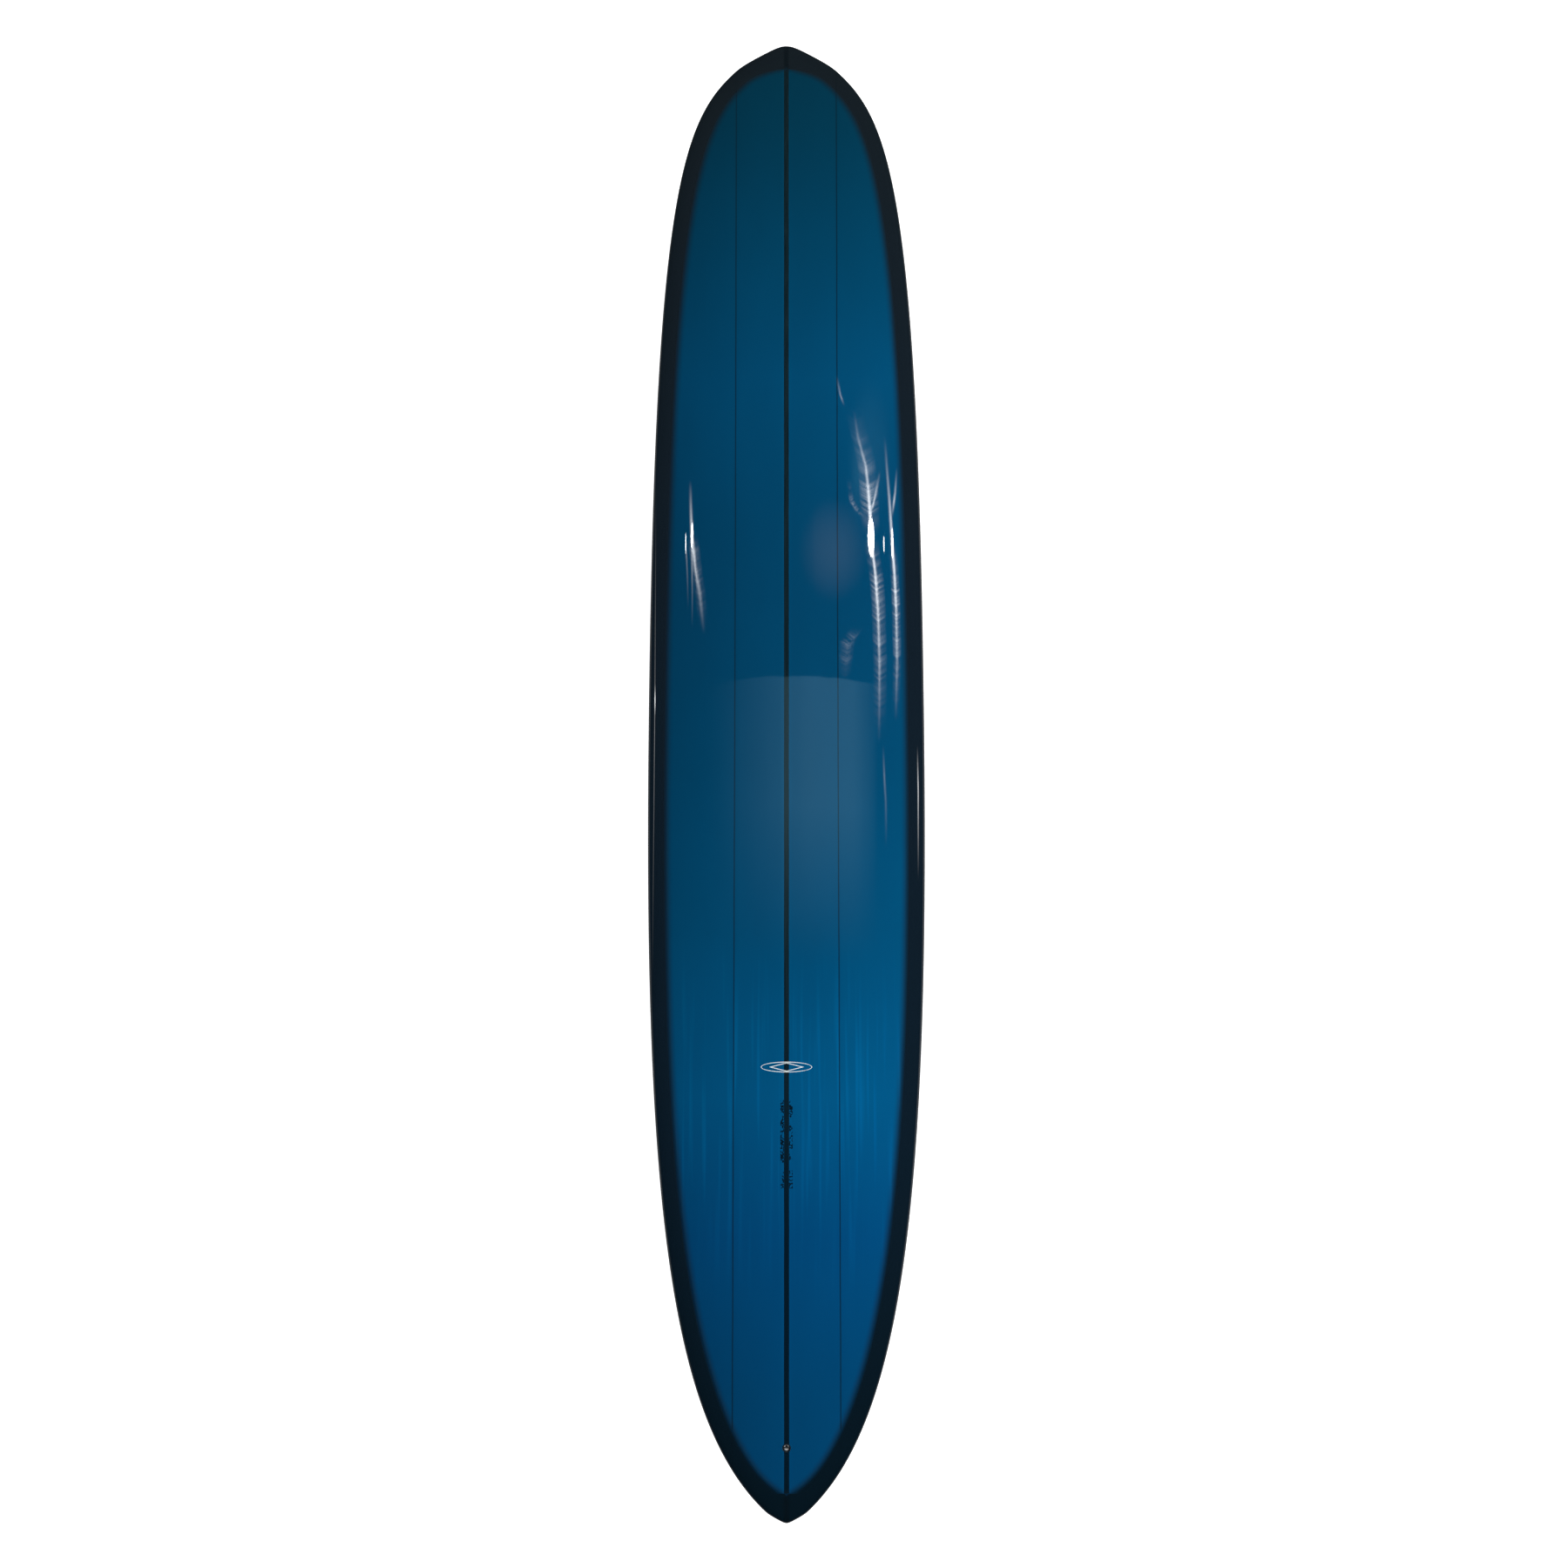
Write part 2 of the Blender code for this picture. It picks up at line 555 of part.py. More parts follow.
# ---- screw and plate that clamp the fin -----------------------------------------------------
screw = rod("screw_head", HEAD_RADIUS, HEAD_LOW, HEAD_HIGH, sides=28, matrix=SCREW_FRAME)
combine(screw, rod("shank", SHANK_RADIUS, HEAD_HIGH - 0.0005, SHANK_END, matrix=SCREW_FRAME), "UNION")
combine(screw, block("drive", (-DRIVE_SLOT / 2, -0.01, HEAD_LOW - 0.001),
                     (DRIVE_SLOT / 2, 0.01, HEAD_LOW + 0.0012), SCREW_FRAME), "DIFFERENCE")
finish(screw, "fin_screw", (0.56, 0.57, 0.58), 0.25, 1.0, body=SCREW_PIVOT)

half_plate = PLATE_SIDE / 2
plate = block("plate", (-half_plate, -half_plate, PLATE_LOW),
              (half_plate, half_plate, PLATE_LOW + PLATE_THICK), SCREW_FRAME)
combine(plate, rod("plate_hole", PLATE_HOLE, 0.0, 0.02, matrix=SCREW_FRAME), "DIFFERENCE")
finish(plate, "fin_plate", (0.60, 0.45, 0.20), 0.35, 1.0, body=PLATE_PIVOT)
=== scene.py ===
# %% [markdown]
# # A ten foot longboard, deck up
# The board is a foam blank with three thin wooden stringers, wrapped in two fibreglass skins:
# a deep blue deck skin, and a dark navy bottom skin that folds round the rails and laps onto
# the deck. A leash cup sits near the tail, and a fin slides in a box underneath.
# The imported model is loaded first, because the new pieces take the place of its parts.

# %% Load the frame
import math

import bmesh
import bpy
import numpy as np
from mathutils import Matrix, Vector


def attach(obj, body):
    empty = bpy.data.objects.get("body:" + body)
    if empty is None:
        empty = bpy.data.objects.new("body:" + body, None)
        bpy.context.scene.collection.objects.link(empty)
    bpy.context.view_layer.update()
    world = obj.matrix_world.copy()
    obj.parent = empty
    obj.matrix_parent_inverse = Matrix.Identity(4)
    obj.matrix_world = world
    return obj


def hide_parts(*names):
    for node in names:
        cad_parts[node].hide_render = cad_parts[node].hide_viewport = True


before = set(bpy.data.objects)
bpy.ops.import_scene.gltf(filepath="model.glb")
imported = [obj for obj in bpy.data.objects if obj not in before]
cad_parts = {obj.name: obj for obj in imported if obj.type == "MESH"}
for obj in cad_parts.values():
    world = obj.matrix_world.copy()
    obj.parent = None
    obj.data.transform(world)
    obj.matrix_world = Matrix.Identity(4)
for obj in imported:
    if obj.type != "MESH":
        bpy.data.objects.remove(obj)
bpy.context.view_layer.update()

# %% [markdown]
# ## The lines of the board
# A shaper draws three curves: the outline seen from above, the rocker seen from the side, and
# the thickness. Each is a plain formula here, worked out for a whole array of stations at once,
# so a fine skin can be laid on exactly the same surface as the solid model's coarse one.

# %% Outline, rocker and thickness
HALF_LENGTH, HALF_WIDTH, THICK = 1.524, 0.2873, 0.079
RISE = 0.1910                                       # bottom at mid length, above the fin's tip
NOSE = dict(handles=(1.435, 1.387, 0.1945, 0.0465, 0.0535), thin=0.016, late=3.2, lift=0.115, bend=2.3)
TAIL = dict(handles=(1.000, 1.378, 0.2125, 0.0155, 0.0220), thin=0.018, late=4.0, lift=0.065, bend=2.2)
APEX, DECK_POWER, BOTTOM_POWER, TIP_ROUND = 0.45, 2.6, 5.0, 0.009


def cubic(points, steps=1600):
    """A cubic Bezier curve through its first and last point, as rows."""
    t = np.linspace(0, 1, steps)[:, None]
    p = np.array(points, float)
    return (1 - t) ** 3 * p[0] + 3 * t * (1 - t) ** 2 * p[1] + 3 * t * t * (1 - t) * p[2] + t ** 3 * p[3]


def half_outline(end):
    """A cubic Bezier from the wide point to the tip, times a quarter circle over the last few
    centimetres so that the tip closes round. Returns distances along and half widths."""
    mid, along, out, stop, rounding = end["handles"]
    y, x = cubic([(0, HALF_WIDTH), (mid, HALF_WIDTH), (along, out), (HALF_LENGTH, stop)]).T
    past = np.clip((y - HALF_LENGTH + rounding) / rounding, 0, 1)
    return y, x * np.sqrt(1 - past ** 2)


NOSE_LINE, TAIL_LINE = half_outline(NOSE), half_outline(TAIL)


def half_width(y):
    """Half width at stations y, read off the nose or the tail curve."""
    return np.where(y >= 0, np.interp(np.abs(y), *NOSE_LINE), np.interp(np.abs(y), *TAIL_LINE))


def rocker(y):
    """Height of the bottom's centreline: a power of the share of the half length."""
    s = np.minimum(np.abs(y) / HALF_LENGTH, 1)
    return RISE + np.where(y >= 0, NOSE["lift"] * s ** NOSE["bend"], TAIL["lift"] * s ** TAIL["bend"])


def foil_depth(y, closed=True):
    """Thickness on the centreline, thinning late toward each tip; closed rounds off the very tip."""
    s = np.minimum(np.abs(y) / HALF_LENGTH, 1)
    deep = THICK - np.where(y >= 0, (THICK - NOSE["thin"]) * s ** NOSE["late"],
                            (THICK - TAIL["thin"]) * s ** TAIL["late"])
    past = np.clip((np.abs(y) - HALF_LENGTH + TIP_ROUND) / TIP_ROUND, 0, 1)
    return deep * np.sqrt(1 - past ** 2) if closed else deep


def rail_line(y):
    """Height of the widest line of the rail."""
    return rocker(y) + APEX * foil_depth(y, closed=False)


def deck_height(x, y):
    """Deck surface: the rail line plus a flattened quarter oval, one minus |x/w| to the deck power."""
    side = np.minimum(np.abs(x) / np.maximum(half_width(y), 1e-9), 1)
    return rail_line(y) + (1 - APEX) * foil_depth(y) * np.sqrt(1 - side ** DECK_POWER)


print("widest", 2 * HALF_WIDTH, "m; deck at mid length", round(float(deck_height(0.0, 0.0)), 4), "m")

# %% [markdown]
# ## From a grid of points to a mesh
# Most pieces are surfaces on a grid of two parameters. One helper turns a block of points into
# quads, wraps it round where it is closed, and shuts the ends where asked; another lays a plan UV
# map in metres. Smooth shading with sharp edges only past an angle keeps glossy skins clean.

# %% Mesh helpers
def joined_up(x, y, z):
    """Coordinates spread to one shape, as points."""
    return np.stack(np.broadcast_arrays(x, y, z), -1)


SMOOTH_TO = math.radians(35)


def new_object(name, mesh):
    """Link a mesh as an object at the origin, smooth shaded, with edges past the angle kept sharp."""
    mesh.shade_smooth()
    mesh.set_sharp_from_angle(angle=SMOOTH_TO)
    made = bpy.data.objects.new(name, mesh)
    bpy.context.scene.collection.objects.link(made)
    return made


def grid_faces(rows, cols, wrap=False):
    """Quad (i, j) joins points i, i+1 along and j, j+1 across; wrap joins the last column to the first."""
    i, j = np.meshgrid(np.arange(rows - 1), np.arange(cols if wrap else cols - 1), indexing="ij")
    here, there, k = i * cols, (i + 1) * cols, (j + 1) % cols
    return np.stack((here + j, here + k, there + k, there + j), -1).reshape(-1, 4).tolist()


def grid_mesh(name, points, wrap=False, caps=False):
    """A mesh from rows x columns x 3 points; caps closes the first and last row with one polygon."""
    rows, cols = points.shape[:2]
    faces = grid_faces(rows, cols, wrap)
    if caps:
        faces += [list(range(cols))[::-1], list(range((rows - 1) * cols, rows * cols))]
    mesh = bpy.data.meshes.new(name)
    mesh.from_pydata(points.reshape(-1, 3), [], faces)
    bm = bmesh.new()
    bm.from_mesh(mesh)
    bmesh.ops.remove_doubles(bm, verts=bm.verts, dist=2e-6)
    bmesh.ops.recalc_face_normals(bm, faces=bm.faces)
    bm.to_mesh(mesh)
    bm.free()
    return mesh


def solid(name, points, matrix=None, closed=True):
    """A grid as an object, moved into a frame where one is given; closed wraps it and caps it."""
    mesh = grid_mesh(name, points, wrap=closed, caps=closed)
    if matrix is not None:
        mesh.transform(matrix)
    return new_object(name, mesh)


def points_of(mesh):
    """Each vertex's place, as rows."""
    at = np.empty(len(mesh.vertices) * 3, np.float32)
    mesh.vertices.foreach_get("co", at)
    return at.reshape(-1, 3)


def lay_plan_uv(mesh):
    """A flat map in metres: U along the board, V across it."""
    corner = np.empty(len(mesh.loops), np.int32)
    mesh.loops.foreach_get("vertex_index", corner)
    layer = mesh.uv_layers.new(name="plan")
    layer.data.foreach_set("uv", points_of(mesh)[corner][:, [1, 0]].ravel())


def bake(made):
    """Replace an object's mesh by what its modifiers make of it."""
    bpy.context.view_layer.update()
    graph = bpy.context.evaluated_depsgraph_get()
    mesh = bpy.data.meshes.new_from_object(made.evaluated_get(graph))
    made.modifiers.clear()
    made.data = mesh
    mesh.name = made.name


def carve(made, tool, operation="DIFFERENCE"):
    """Cut a tool out of a piece, or join it on, and throw the tool away."""
    mod = made.modifiers.new("carve", "BOOLEAN")
    mod.object, mod.operation, mod.solver = tool, operation, "EXACT"
    bake(made)
    bpy.data.objects.remove(tool)
    made.data.set_sharp_from_angle(angle=SMOOTH_TO)


def thicken(made, depth):
    """Give a skin its wall, inward from the surface."""
    mod = made.modifiers.new("wall", "SOLIDIFY")
    mod.thickness, mod.offset, mod.use_even_offset = depth, -1, False
    bake(made)


print("helpers ready")

# %% [markdown]
# ## Where the bottom skin laps onto the deck
# The dark cloth is wrapped round the rail and trimmed about four centimetres in, a little more
# at the tips. The trim line is the outline pushed inward along its own normal, so the band
# keeps an even width round the curves, as a taped line does.

# %% Lap line and stations
LAP, LAP_AT_TIP, TIP_REACH = 0.040, 0.016, 0.060


def lap_half_width(y):
    """Half width of the blue area: the outline moved inward along its normal, read at stations y."""
    along = np.concatenate((-TAIL_LINE[0][::-1], NOSE_LINE[0][1:]))
    wide = np.concatenate((TAIL_LINE[1][::-1], NOSE_LINE[1][1:]))
    dy, dx = np.gradient(along), np.gradient(wide)
    size = np.hypot(dy, dx)
    lap = LAP + LAP_AT_TIP * np.exp(-(wide / TIP_REACH) ** 2)
    line_y, line_x = along + lap * dx / size, wide - lap * dy / size
    keep = (line_x > 0) & (np.abs(line_y) < HALF_LENGTH - 0.03)
    line_y, line_x = line_y[keep], line_x[keep]
    order = np.argsort(line_y)
    return np.interp(y, line_y[order], line_x[order], left=0, right=0), line_y.min(), line_y.max()


_, LAP_TAIL, LAP_NOSE = lap_half_width(0.0)


def spread(a, b, count):
    """Stations from a to b, crowded toward both ends by a cosine."""
    return a + (b - a) * (0.5 - 0.5 * np.cos(np.pi * np.linspace(0, 1, count)))


DECK_Y = spread(LAP_TAIL, LAP_NOSE, 300)
ALL_Y = np.concatenate((spread(-HALF_LENGTH, LAP_TAIL, 26)[:-1], DECK_Y,
                        spread(LAP_NOSE, HALF_LENGTH, 26)[1:]))
print("blue area from", round(float(LAP_TAIL), 3), "to", round(float(LAP_NOSE), 3), "m")

# %% [markdown]
# ## Deck skin
# The blue skin is one sheet of cloth and tinted resin. Its columns follow the deck's oval by
# angle, which crowds them toward the rails where the surface turns fastest. A vertex attribute
# stores how far each point lies from the trim line, so the colour can darken softly there.

# %% Deck skin
def deck_angles(share, wide):
    """The angle of the deck's oval whose half width is that share of the outline's."""
    return np.arcsin(np.clip(share / np.maximum(wide, 1e-9), 0, 1) ** (DECK_POWER / 2))


def deck_grid(ys, columns):
    """Points of the blue area: x = w sin(t)^(2/p) for t between plus and minus the lap's angle."""
    wide = half_width(ys)[:, None]
    edge = lap_half_width(ys)[0][:, None]
    turn = deck_angles(edge, wide) * np.linspace(-1, 1, columns)[None, :]
    x = np.sign(turn) * wide * np.abs(np.sin(turn)) ** (2 / DECK_POWER)
    return joined_up(x, ys[:, None], deck_height(x, ys[:, None]))


UNDER_RAIL = -0.05                                  # stands for "nowhere near the trim line"


def store_lap_distance(mesh):
    """Write to each vertex how far inside the trim line it lies, in metres."""
    x, y, z = points_of(mesh).astype(float).T
    slope = np.abs(np.gradient(lap_half_width(DECK_Y)[0], DECK_Y))
    lean = np.sqrt(1 + np.interp(y, DECK_Y, np.minimum(slope, 3)) ** 2)
    inside = (lap_half_width(y)[0] - np.abs(x)) / lean
    past_tip = np.maximum(y - LAP_NOSE, LAP_TAIL - y)
    inside = np.where(past_tip > 0, -np.hypot(past_tip, x), inside)
    inside[z < rail_line(y)] = UNDER_RAIL
    layer = mesh.attributes.new("inside_lap", "FLOAT", "POINT")
    layer.data.foreach_set("value", inside.astype(np.float32))


SKIN = 0.0010
deck = solid("deck_skin", deck_grid(DECK_Y, 97), closed=False)
thicken(deck, SKIN)
print("deck skin:", len(deck.data.polygons), "faces")

# %% [markdown]
# ## Bottom skin
# One sheet again: it starts at the trim line on the deck, runs round the right rail, across
# the bottom and back up the left rail. Past the ends of the blue area it closes over the tips.

# %% Bottom skin
def wrap_grid(ys, on_deck, under):
    """From the lap edge out over the deck's oval, then under by the flatter bottom oval, and mirrored."""
    wide, apex, deep = half_width(ys)[:, None], rail_line(ys)[:, None], foil_depth(ys)[:, None]
    start = deck_angles(lap_half_width(ys)[0][:, None], wide)
    over = start + (np.pi / 2 - start) * np.linspace(0, 1, on_deck)[None, :]
    below = np.pi / 2 * (1 - np.linspace(0, 1, under)[None, 1:])
    x = np.hstack((wide * np.sin(over) ** (2 / DECK_POWER), wide * np.sin(below) ** (2 / BOTTOM_POWER)))
    z = np.hstack((apex + (1 - APEX) * deep * np.cos(over), apex - APEX * deep * np.cos(below)))
    x, z = np.hstack((x, -x[:, -2::-1])), np.hstack((z, z[:, -2::-1]))
    return joined_up(x, ys[:, None], z)


bottom = solid("bottom_skin", wrap_grid(ALL_Y, 22, 44), closed=False)
thicken(bottom, SKIN)
print("bottom skin:", len(bottom.data.polygons), "faces")

# %% [markdown]
# ## Pockets
# The leash cup is set into a drilled hole and the fin box into a routed slot, so each skin has
# an opening. They are cut out with closed tools and a Boolean, the sculptor's way of removing
# stock, and the tools are thrown away.

# %% Frames of the cup and the fin box
GAP = 0.0003
BOX_Y, BOX_LONG, BOX_WIDE, BOX_DEEP, BOX_CORNER = -1.2075, 0.275, 0.025, 0.025, 0.0063
slope = TAIL["lift"] * TAIL["bend"] * (-BOX_Y / HALF_LENGTH) ** (TAIL["bend"] - 1) / HALF_LENGTH
BOX_FRAME = (Matrix.Translation((0, BOX_Y, float(rocker(BOX_Y)) + 0.0002))
             @ Matrix.Rotation(-math.atan(slope), 4, "X"))
CUP_Y, CUP_OUT, CUP_IN, CUP_DEEP = -1.379, 0.00825, 0.00625, 0.0145
CUP_TOP = float(deck_height(0.0, CUP_Y)) + 0.0005


def turned(name, profile, sides=64, center=(0.0, 0.0), matrix=None):
    """A profile of (radius, height) rows carried round the upright axis at a centre."""
    r, z = np.array(profile, float).T
    turn = np.linspace(0, 2 * np.pi, sides, endpoint=False)[None, :]
    x, y = r[:, None] * np.cos(turn) + center[0], r[:, None] * np.sin(turn) + center[1]
    return solid(name, joined_up(x, y, z[:, None]), matrix)


def slab(name, low, high, corner, matrix, arc=6):
    """A box with rounded upright corners: four quarter circles joined into a ring, at two heights."""
    turn = np.linspace(0, np.pi / 2, arc)
    ring = []
    for quarter, (sx, sy) in enumerate(((1, 1), (-1, 1), (-1, -1), (1, -1))):
        a = turn + quarter * np.pi / 2
        cx = (high[0] if sx > 0 else low[0]) - sx * corner
        cy = (high[1] if sy > 0 else low[1]) - sy * corner
        ring.append(np.stack((cx + corner * np.cos(a), cy + corner * np.sin(a)), -1))
    ring = np.vstack(ring)
    height = np.array((low[2], high[2]))[:, None]
    return solid(name, joined_up(ring[:, 0], ring[:, 1], height), matrix)


carve(deck, turned("drill", [(CUP_OUT + GAP, CUP_TOP + z) for z in (-0.02, 0.02)], 72, (0, CUP_Y)))
carve(bottom, slab("router", (-BOX_WIDE / 2 - GAP, -BOX_LONG / 2 - GAP, -0.01),
                   (BOX_WIDE / 2 + GAP, BOX_LONG / 2 + GAP, BOX_DEEP), BOX_CORNER, BOX_FRAME, arc=8))
for skin in (deck, bottom):
    lay_plan_uv(skin.data)
    store_lap_distance(skin.data)
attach(deck, "board"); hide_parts("deck_laminate")
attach(bottom, "board"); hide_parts("bottom_laminate")
print("openings cut:", len(deck.data.polygons), len(bottom.data.polygons))

# %% [markdown]
# ## Leash cup
# A small moulded cup is glued flush into the deck on the stringer line. Its rim is covered by a
# ring of dark resin, inside it is a pale bowl, and a steel bar crosses it for the leash string.
# A profile turned round an axis is the natural way to make it.

# %% Cup and bar
def rounded(profile, radius, steps=4):
    """Replace each inner corner of an open profile by a small arc made of a quadratic curve."""
    p = np.array(profile, float)
    out = [p[0]]
    for before, corner, after in zip(p, p[1:], p[2:]):
        a, b = before - corner, after - corner
        r = min(radius, 0.45 * np.linalg.norm(a), 0.45 * np.linalg.norm(b))
        start, stop = corner + a / np.linalg.norm(a) * r, corner + b / np.linalg.norm(b) * r
        t = np.linspace(0, 1, steps + 1)[:, None]
        out += list((1 - t) ** 2 * start + 2 * t * (1 - t) * corner + t * t * stop)
    return out + [p[-1]]


BOWL_R, BOWL_FROM, BOWL_DEEP, MIDDLE_R = CUP_IN - 0.0003, -0.0010, CUP_DEEP - 0.0035, 0.0002
cup_profile = rounded([(MIDDLE_R, -CUP_DEEP), (CUP_OUT, -CUP_DEEP), (CUP_OUT, 0.0), (CUP_IN + 0.0004, 0.0),
                       (BOWL_R, BOWL_FROM)], 0.0004)
cup_profile += [(BOWL_R * np.cos(t) + MIDDLE_R * np.sin(t), BOWL_FROM - BOWL_DEEP * np.sin(t))
                for t in np.linspace(0, 0.5 * np.pi, 14)[1:]]
cup = turned("cup_shell", [(r, z + CUP_TOP) for r, z in cup_profile], 72, (0.0, CUP_Y))
BAR_R, BAR_LONG, BAR_SUNK = 0.0015, 0.0148, 0.004
bar_profile = rounded([(0.0001, -BAR_LONG / 2), (BAR_R, -BAR_LONG / 2), (BAR_R, BAR_LONG / 2),
                       (0.0001, BAR_LONG / 2)], 0.0003)
lay_across = Matrix.Translation((0, CUP_Y, CUP_TOP - BAR_SUNK)) @ Matrix.Rotation(math.pi / 2, 4, "Y")
bar = turned("cup_bar", bar_profile, 32, matrix=lay_across)
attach(cup, "board"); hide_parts("leash_cup")
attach(bar, "board"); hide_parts("leash_bar")
print("cup rim at", round(CUP_TOP, 4), "m")

# %% [markdown]
# ## Printed mark
# A small plain oval with a long diamond inside is printed in white under the gloss. It is a thin
# band of ink that follows the deck, so each line is an inner and an outer closed curve with the
# deck's height read at every point.

# %% Printed mark
MARK_Y, MARK_LONG, MARK_HIGH, MARK_LINE, DIAMOND = -0.640, 0.0515, 0.0105, 0.0013, 4.0


def oval_line(long_half, high_half, count=160):
    """An ellipse: long half times cosine, high half times sine."""
    t = 2 * np.pi * np.arange(count) / count
    return np.stack((long_half * np.cos(t), high_half * np.sin(t)), -1)


def diamond_line(long_half, high_half, per_side=24):
    """A diamond: straight lines between its four corners."""
    corner = np.array([(long_half, 0), (0, high_half), (-long_half, 0), (0, -high_half), (long_half, 0)])
    t = np.arange(4 * per_side) / per_side
    return np.stack((np.interp(t, range(5), corner[:, 0]), np.interp(t, range(5), corner[:, 1])), -1)


def ink_band(name, outer, inner, lift=0.00003, thick=0.00012):
    """A closed band between two lines, with a top, a bottom and both edges, laid on the deck."""
    ring = []
    for line, up in ((outer, 0), (outer, 1), (inner, 1), (inner, 0)):
        x, y = line[:, 0], line[:, 1] + MARK_Y
        ring.append(joined_up(x, y, deck_height(x, y) + lift + thick * up))
    return grid_mesh(name, np.array(ring).transpose(1, 0, 2)[np.r_[0:len(outer), 0]], wrap=True)


def joined(name, *meshes):
    """Several meshes as one."""
    bm = bmesh.new()
    for mesh in meshes:
        bm.from_mesh(mesh)
    out = bpy.data.meshes.new(name)
    bm.to_mesh(out)
    bm.free()
    return out


reach = MARK_HIGH - MARK_LINE - 0.0004
slant = math.hypot(1.0, DIAMOND) * MARK_LINE
mark = new_object("deck_mark", joined(
    "deck_mark",
    ink_band("mark_oval", oval_line(MARK_LONG, MARK_HIGH),
             oval_line(MARK_LONG - MARK_LINE, MARK_HIGH - MARK_LINE)),
    ink_band("mark_diamond", diamond_line(DIAMOND * reach, reach),
             diamond_line(DIAMOND * reach - slant, reach - slant / DIAMOND))))
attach(mark, "board"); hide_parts("deck_emblem")
print("printed mark:", len(mark.data.polygons), "faces")

# %% [markdown]
# ## Fin
# A raked single fin laid up from fibreglass. Each section is a symmetric foil, thick near the
# front and thin behind, set between a leading and a trailing curve. A tab and a short tongue
# under it slide in the box; they are one moulding with the blade, so they are joined on.

# %% Fin blade and tab
FIN_HIGH, FIN_THICK, FIN_EDGE = 0.241, 0.0090, 0.0006
LEAD = ((0.0725, 0.0), (0.0300, 0.100), (-0.0500, 0.238), (-0.1500, 0.241))
TRAIL = ((-0.1055, 0.0), (-0.0700, 0.070), (-0.1000, 0.190), (-0.1500, 0.241))


def edge_curve(points, deep):
    """Where a cubic edge of the fin stands at each depth below the box's face."""
    y, z = cubic(points).T
    return np.interp(deep, z, y)


def fin_grid(rows=90, chord_points=34):
    """Rings down the blade. Half thickness = edge + foil(share of chord), thinner toward the tip."""
    deep = FIN_HIGH * np.sin(0.5 * np.pi * 0.992 * np.linspace(0, 1, rows))
    front, rear = edge_curve(LEAD, deep)[:, None], edge_curve(TRAIL, deep)[:, None]
    chord = front - rear
    c = (0.5 - 0.5 * np.cos(np.pi * np.linspace(0, 1, chord_points)))[None, :]
    foil = (0.2969 * np.sqrt(c) - 0.1260 * c - 0.3516 * c ** 2 + 0.2843 * c ** 3 - 0.1036 * c ** 4) / 0.1
    thick = (FIN_THICK / 2 - FIN_EDGE) * (1 - 0.62 * deep[:, None] / FIN_HIGH) * np.minimum(1, chord / 0.08)
    x = (FIN_EDGE + thick * foil) * np.minimum(1, (chord + 0.002) / 0.012)
    y = front - chord * c
    z = -GAP - deep[:, None]
    return np.hstack((joined_up(x, y, z), joined_up(-x, y, z)[:, ::-1]))


fin = solid("fin_foil", fin_grid(), BOX_FRAME)
TAB_HALF, TAB_CORNER, SCREW_Y, SCREW_WAY = 0.0044, 0.0012, 0.0865, 0.0022
PIN_Y, PIN_Z, PIN_WAY = -0.0935, 0.0118, 0.00165
for part, (rear, face), (front, top) in (("tab", (-0.0985, -0.0012), (0.0705, 0.0170)),
                                         ("tongue", (0.0675, 0.0038), (0.0965, 0.0093))):
    carve(fin, slab(part, (-TAB_HALF, rear, face), (TAB_HALF, front, top), TAB_CORNER, BOX_FRAME), "UNION")
SCREW_FRAME = BOX_FRAME @ Matrix.Translation((0, SCREW_Y, 0))
carve(fin, turned("screw_way", [(SCREW_WAY, -0.001), (SCREW_WAY, 0.02)], 40, matrix=SCREW_FRAME))
across_tab = BOX_FRAME @ Matrix.Translation((0, PIN_Y, PIN_Z)) @ Matrix.Rotation(math.pi / 2, 4, "Y")
carve(fin, turned("pin_way", [(PIN_WAY, -0.02), (PIN_WAY, 0.02)], 32, matrix=across_tab))
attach(fin, "fin"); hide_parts("fin_blade")
print("fin:", len(fin.data.polygons), "faces")

# %% [markdown]
# ## Fin screw
# A short machine screw with a slotted head clamps the tongue against a brass plate. The thread
# is one surface over turn and height: the radius drops in a ridge that climbs one pitch a turn.

# %% Fin screw
def threaded(radius, depth, low, high, pitch=0.0008, sides=40, per_pitch=10):
    """Radius = crest minus depth times a triangle wave of (height / pitch - turn)."""
    z = np.linspace(low, high, int((high - low) / pitch * per_pitch))[:, None]
    turn = np.linspace(0, 2 * np.pi, sides, endpoint=False)[None, :]
    phase = (z / pitch - turn / (2 * np.pi)) % 1.0
    near_end = np.clip(np.minimum(z - low, high - z) / (0.6 * pitch), 0, 1)
    r = radius - depth * (np.abs(2 * phase - 1) * near_end + (1 - near_end))
    return joined_up(r * np.cos(turn), r * np.sin(turn), z)


HEAD_R, HEAD_FACE, HEAD_SEAT = 0.0040, 0.0009, 0.0035
SHANK_R, THREAD_DEEP, SHANK_FROM, SHANK_END = 0.0020, 0.0003, 0.0032, 0.0160
head = rounded([(0.0001, HEAD_FACE), (HEAD_R, HEAD_FACE), (HEAD_R, HEAD_SEAT), (0.0001, HEAD_SEAT)], 0.0005)
screw = turned("screw_body", head, 48, matrix=SCREW_FRAME)
thread = threaded(SHANK_R, THREAD_DEEP, SHANK_FROM, SHANK_END)
carve(screw, solid("shank", thread, SCREW_FRAME), "UNION")
carve(screw, slab("driver", (-0.0006, -0.01, -0.001), (0.0006, 0.01, 0.0021), 0.0001, SCREW_FRAME, arc=2))
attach(screw, "screw"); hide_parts("fin_screw")
print("screw:", len(screw.data.polygons), "faces")

# %% [markdown]
# ## Shader helpers
# A finish is a small graph of nodes. A thin wrapper keeps it readable: each of its methods adds
# one node, joins or sets its inputs, and gives back its result. Effects that several finishes
# share, such as resin cloudiness, scratches, cloth and wood grain, are node groups.

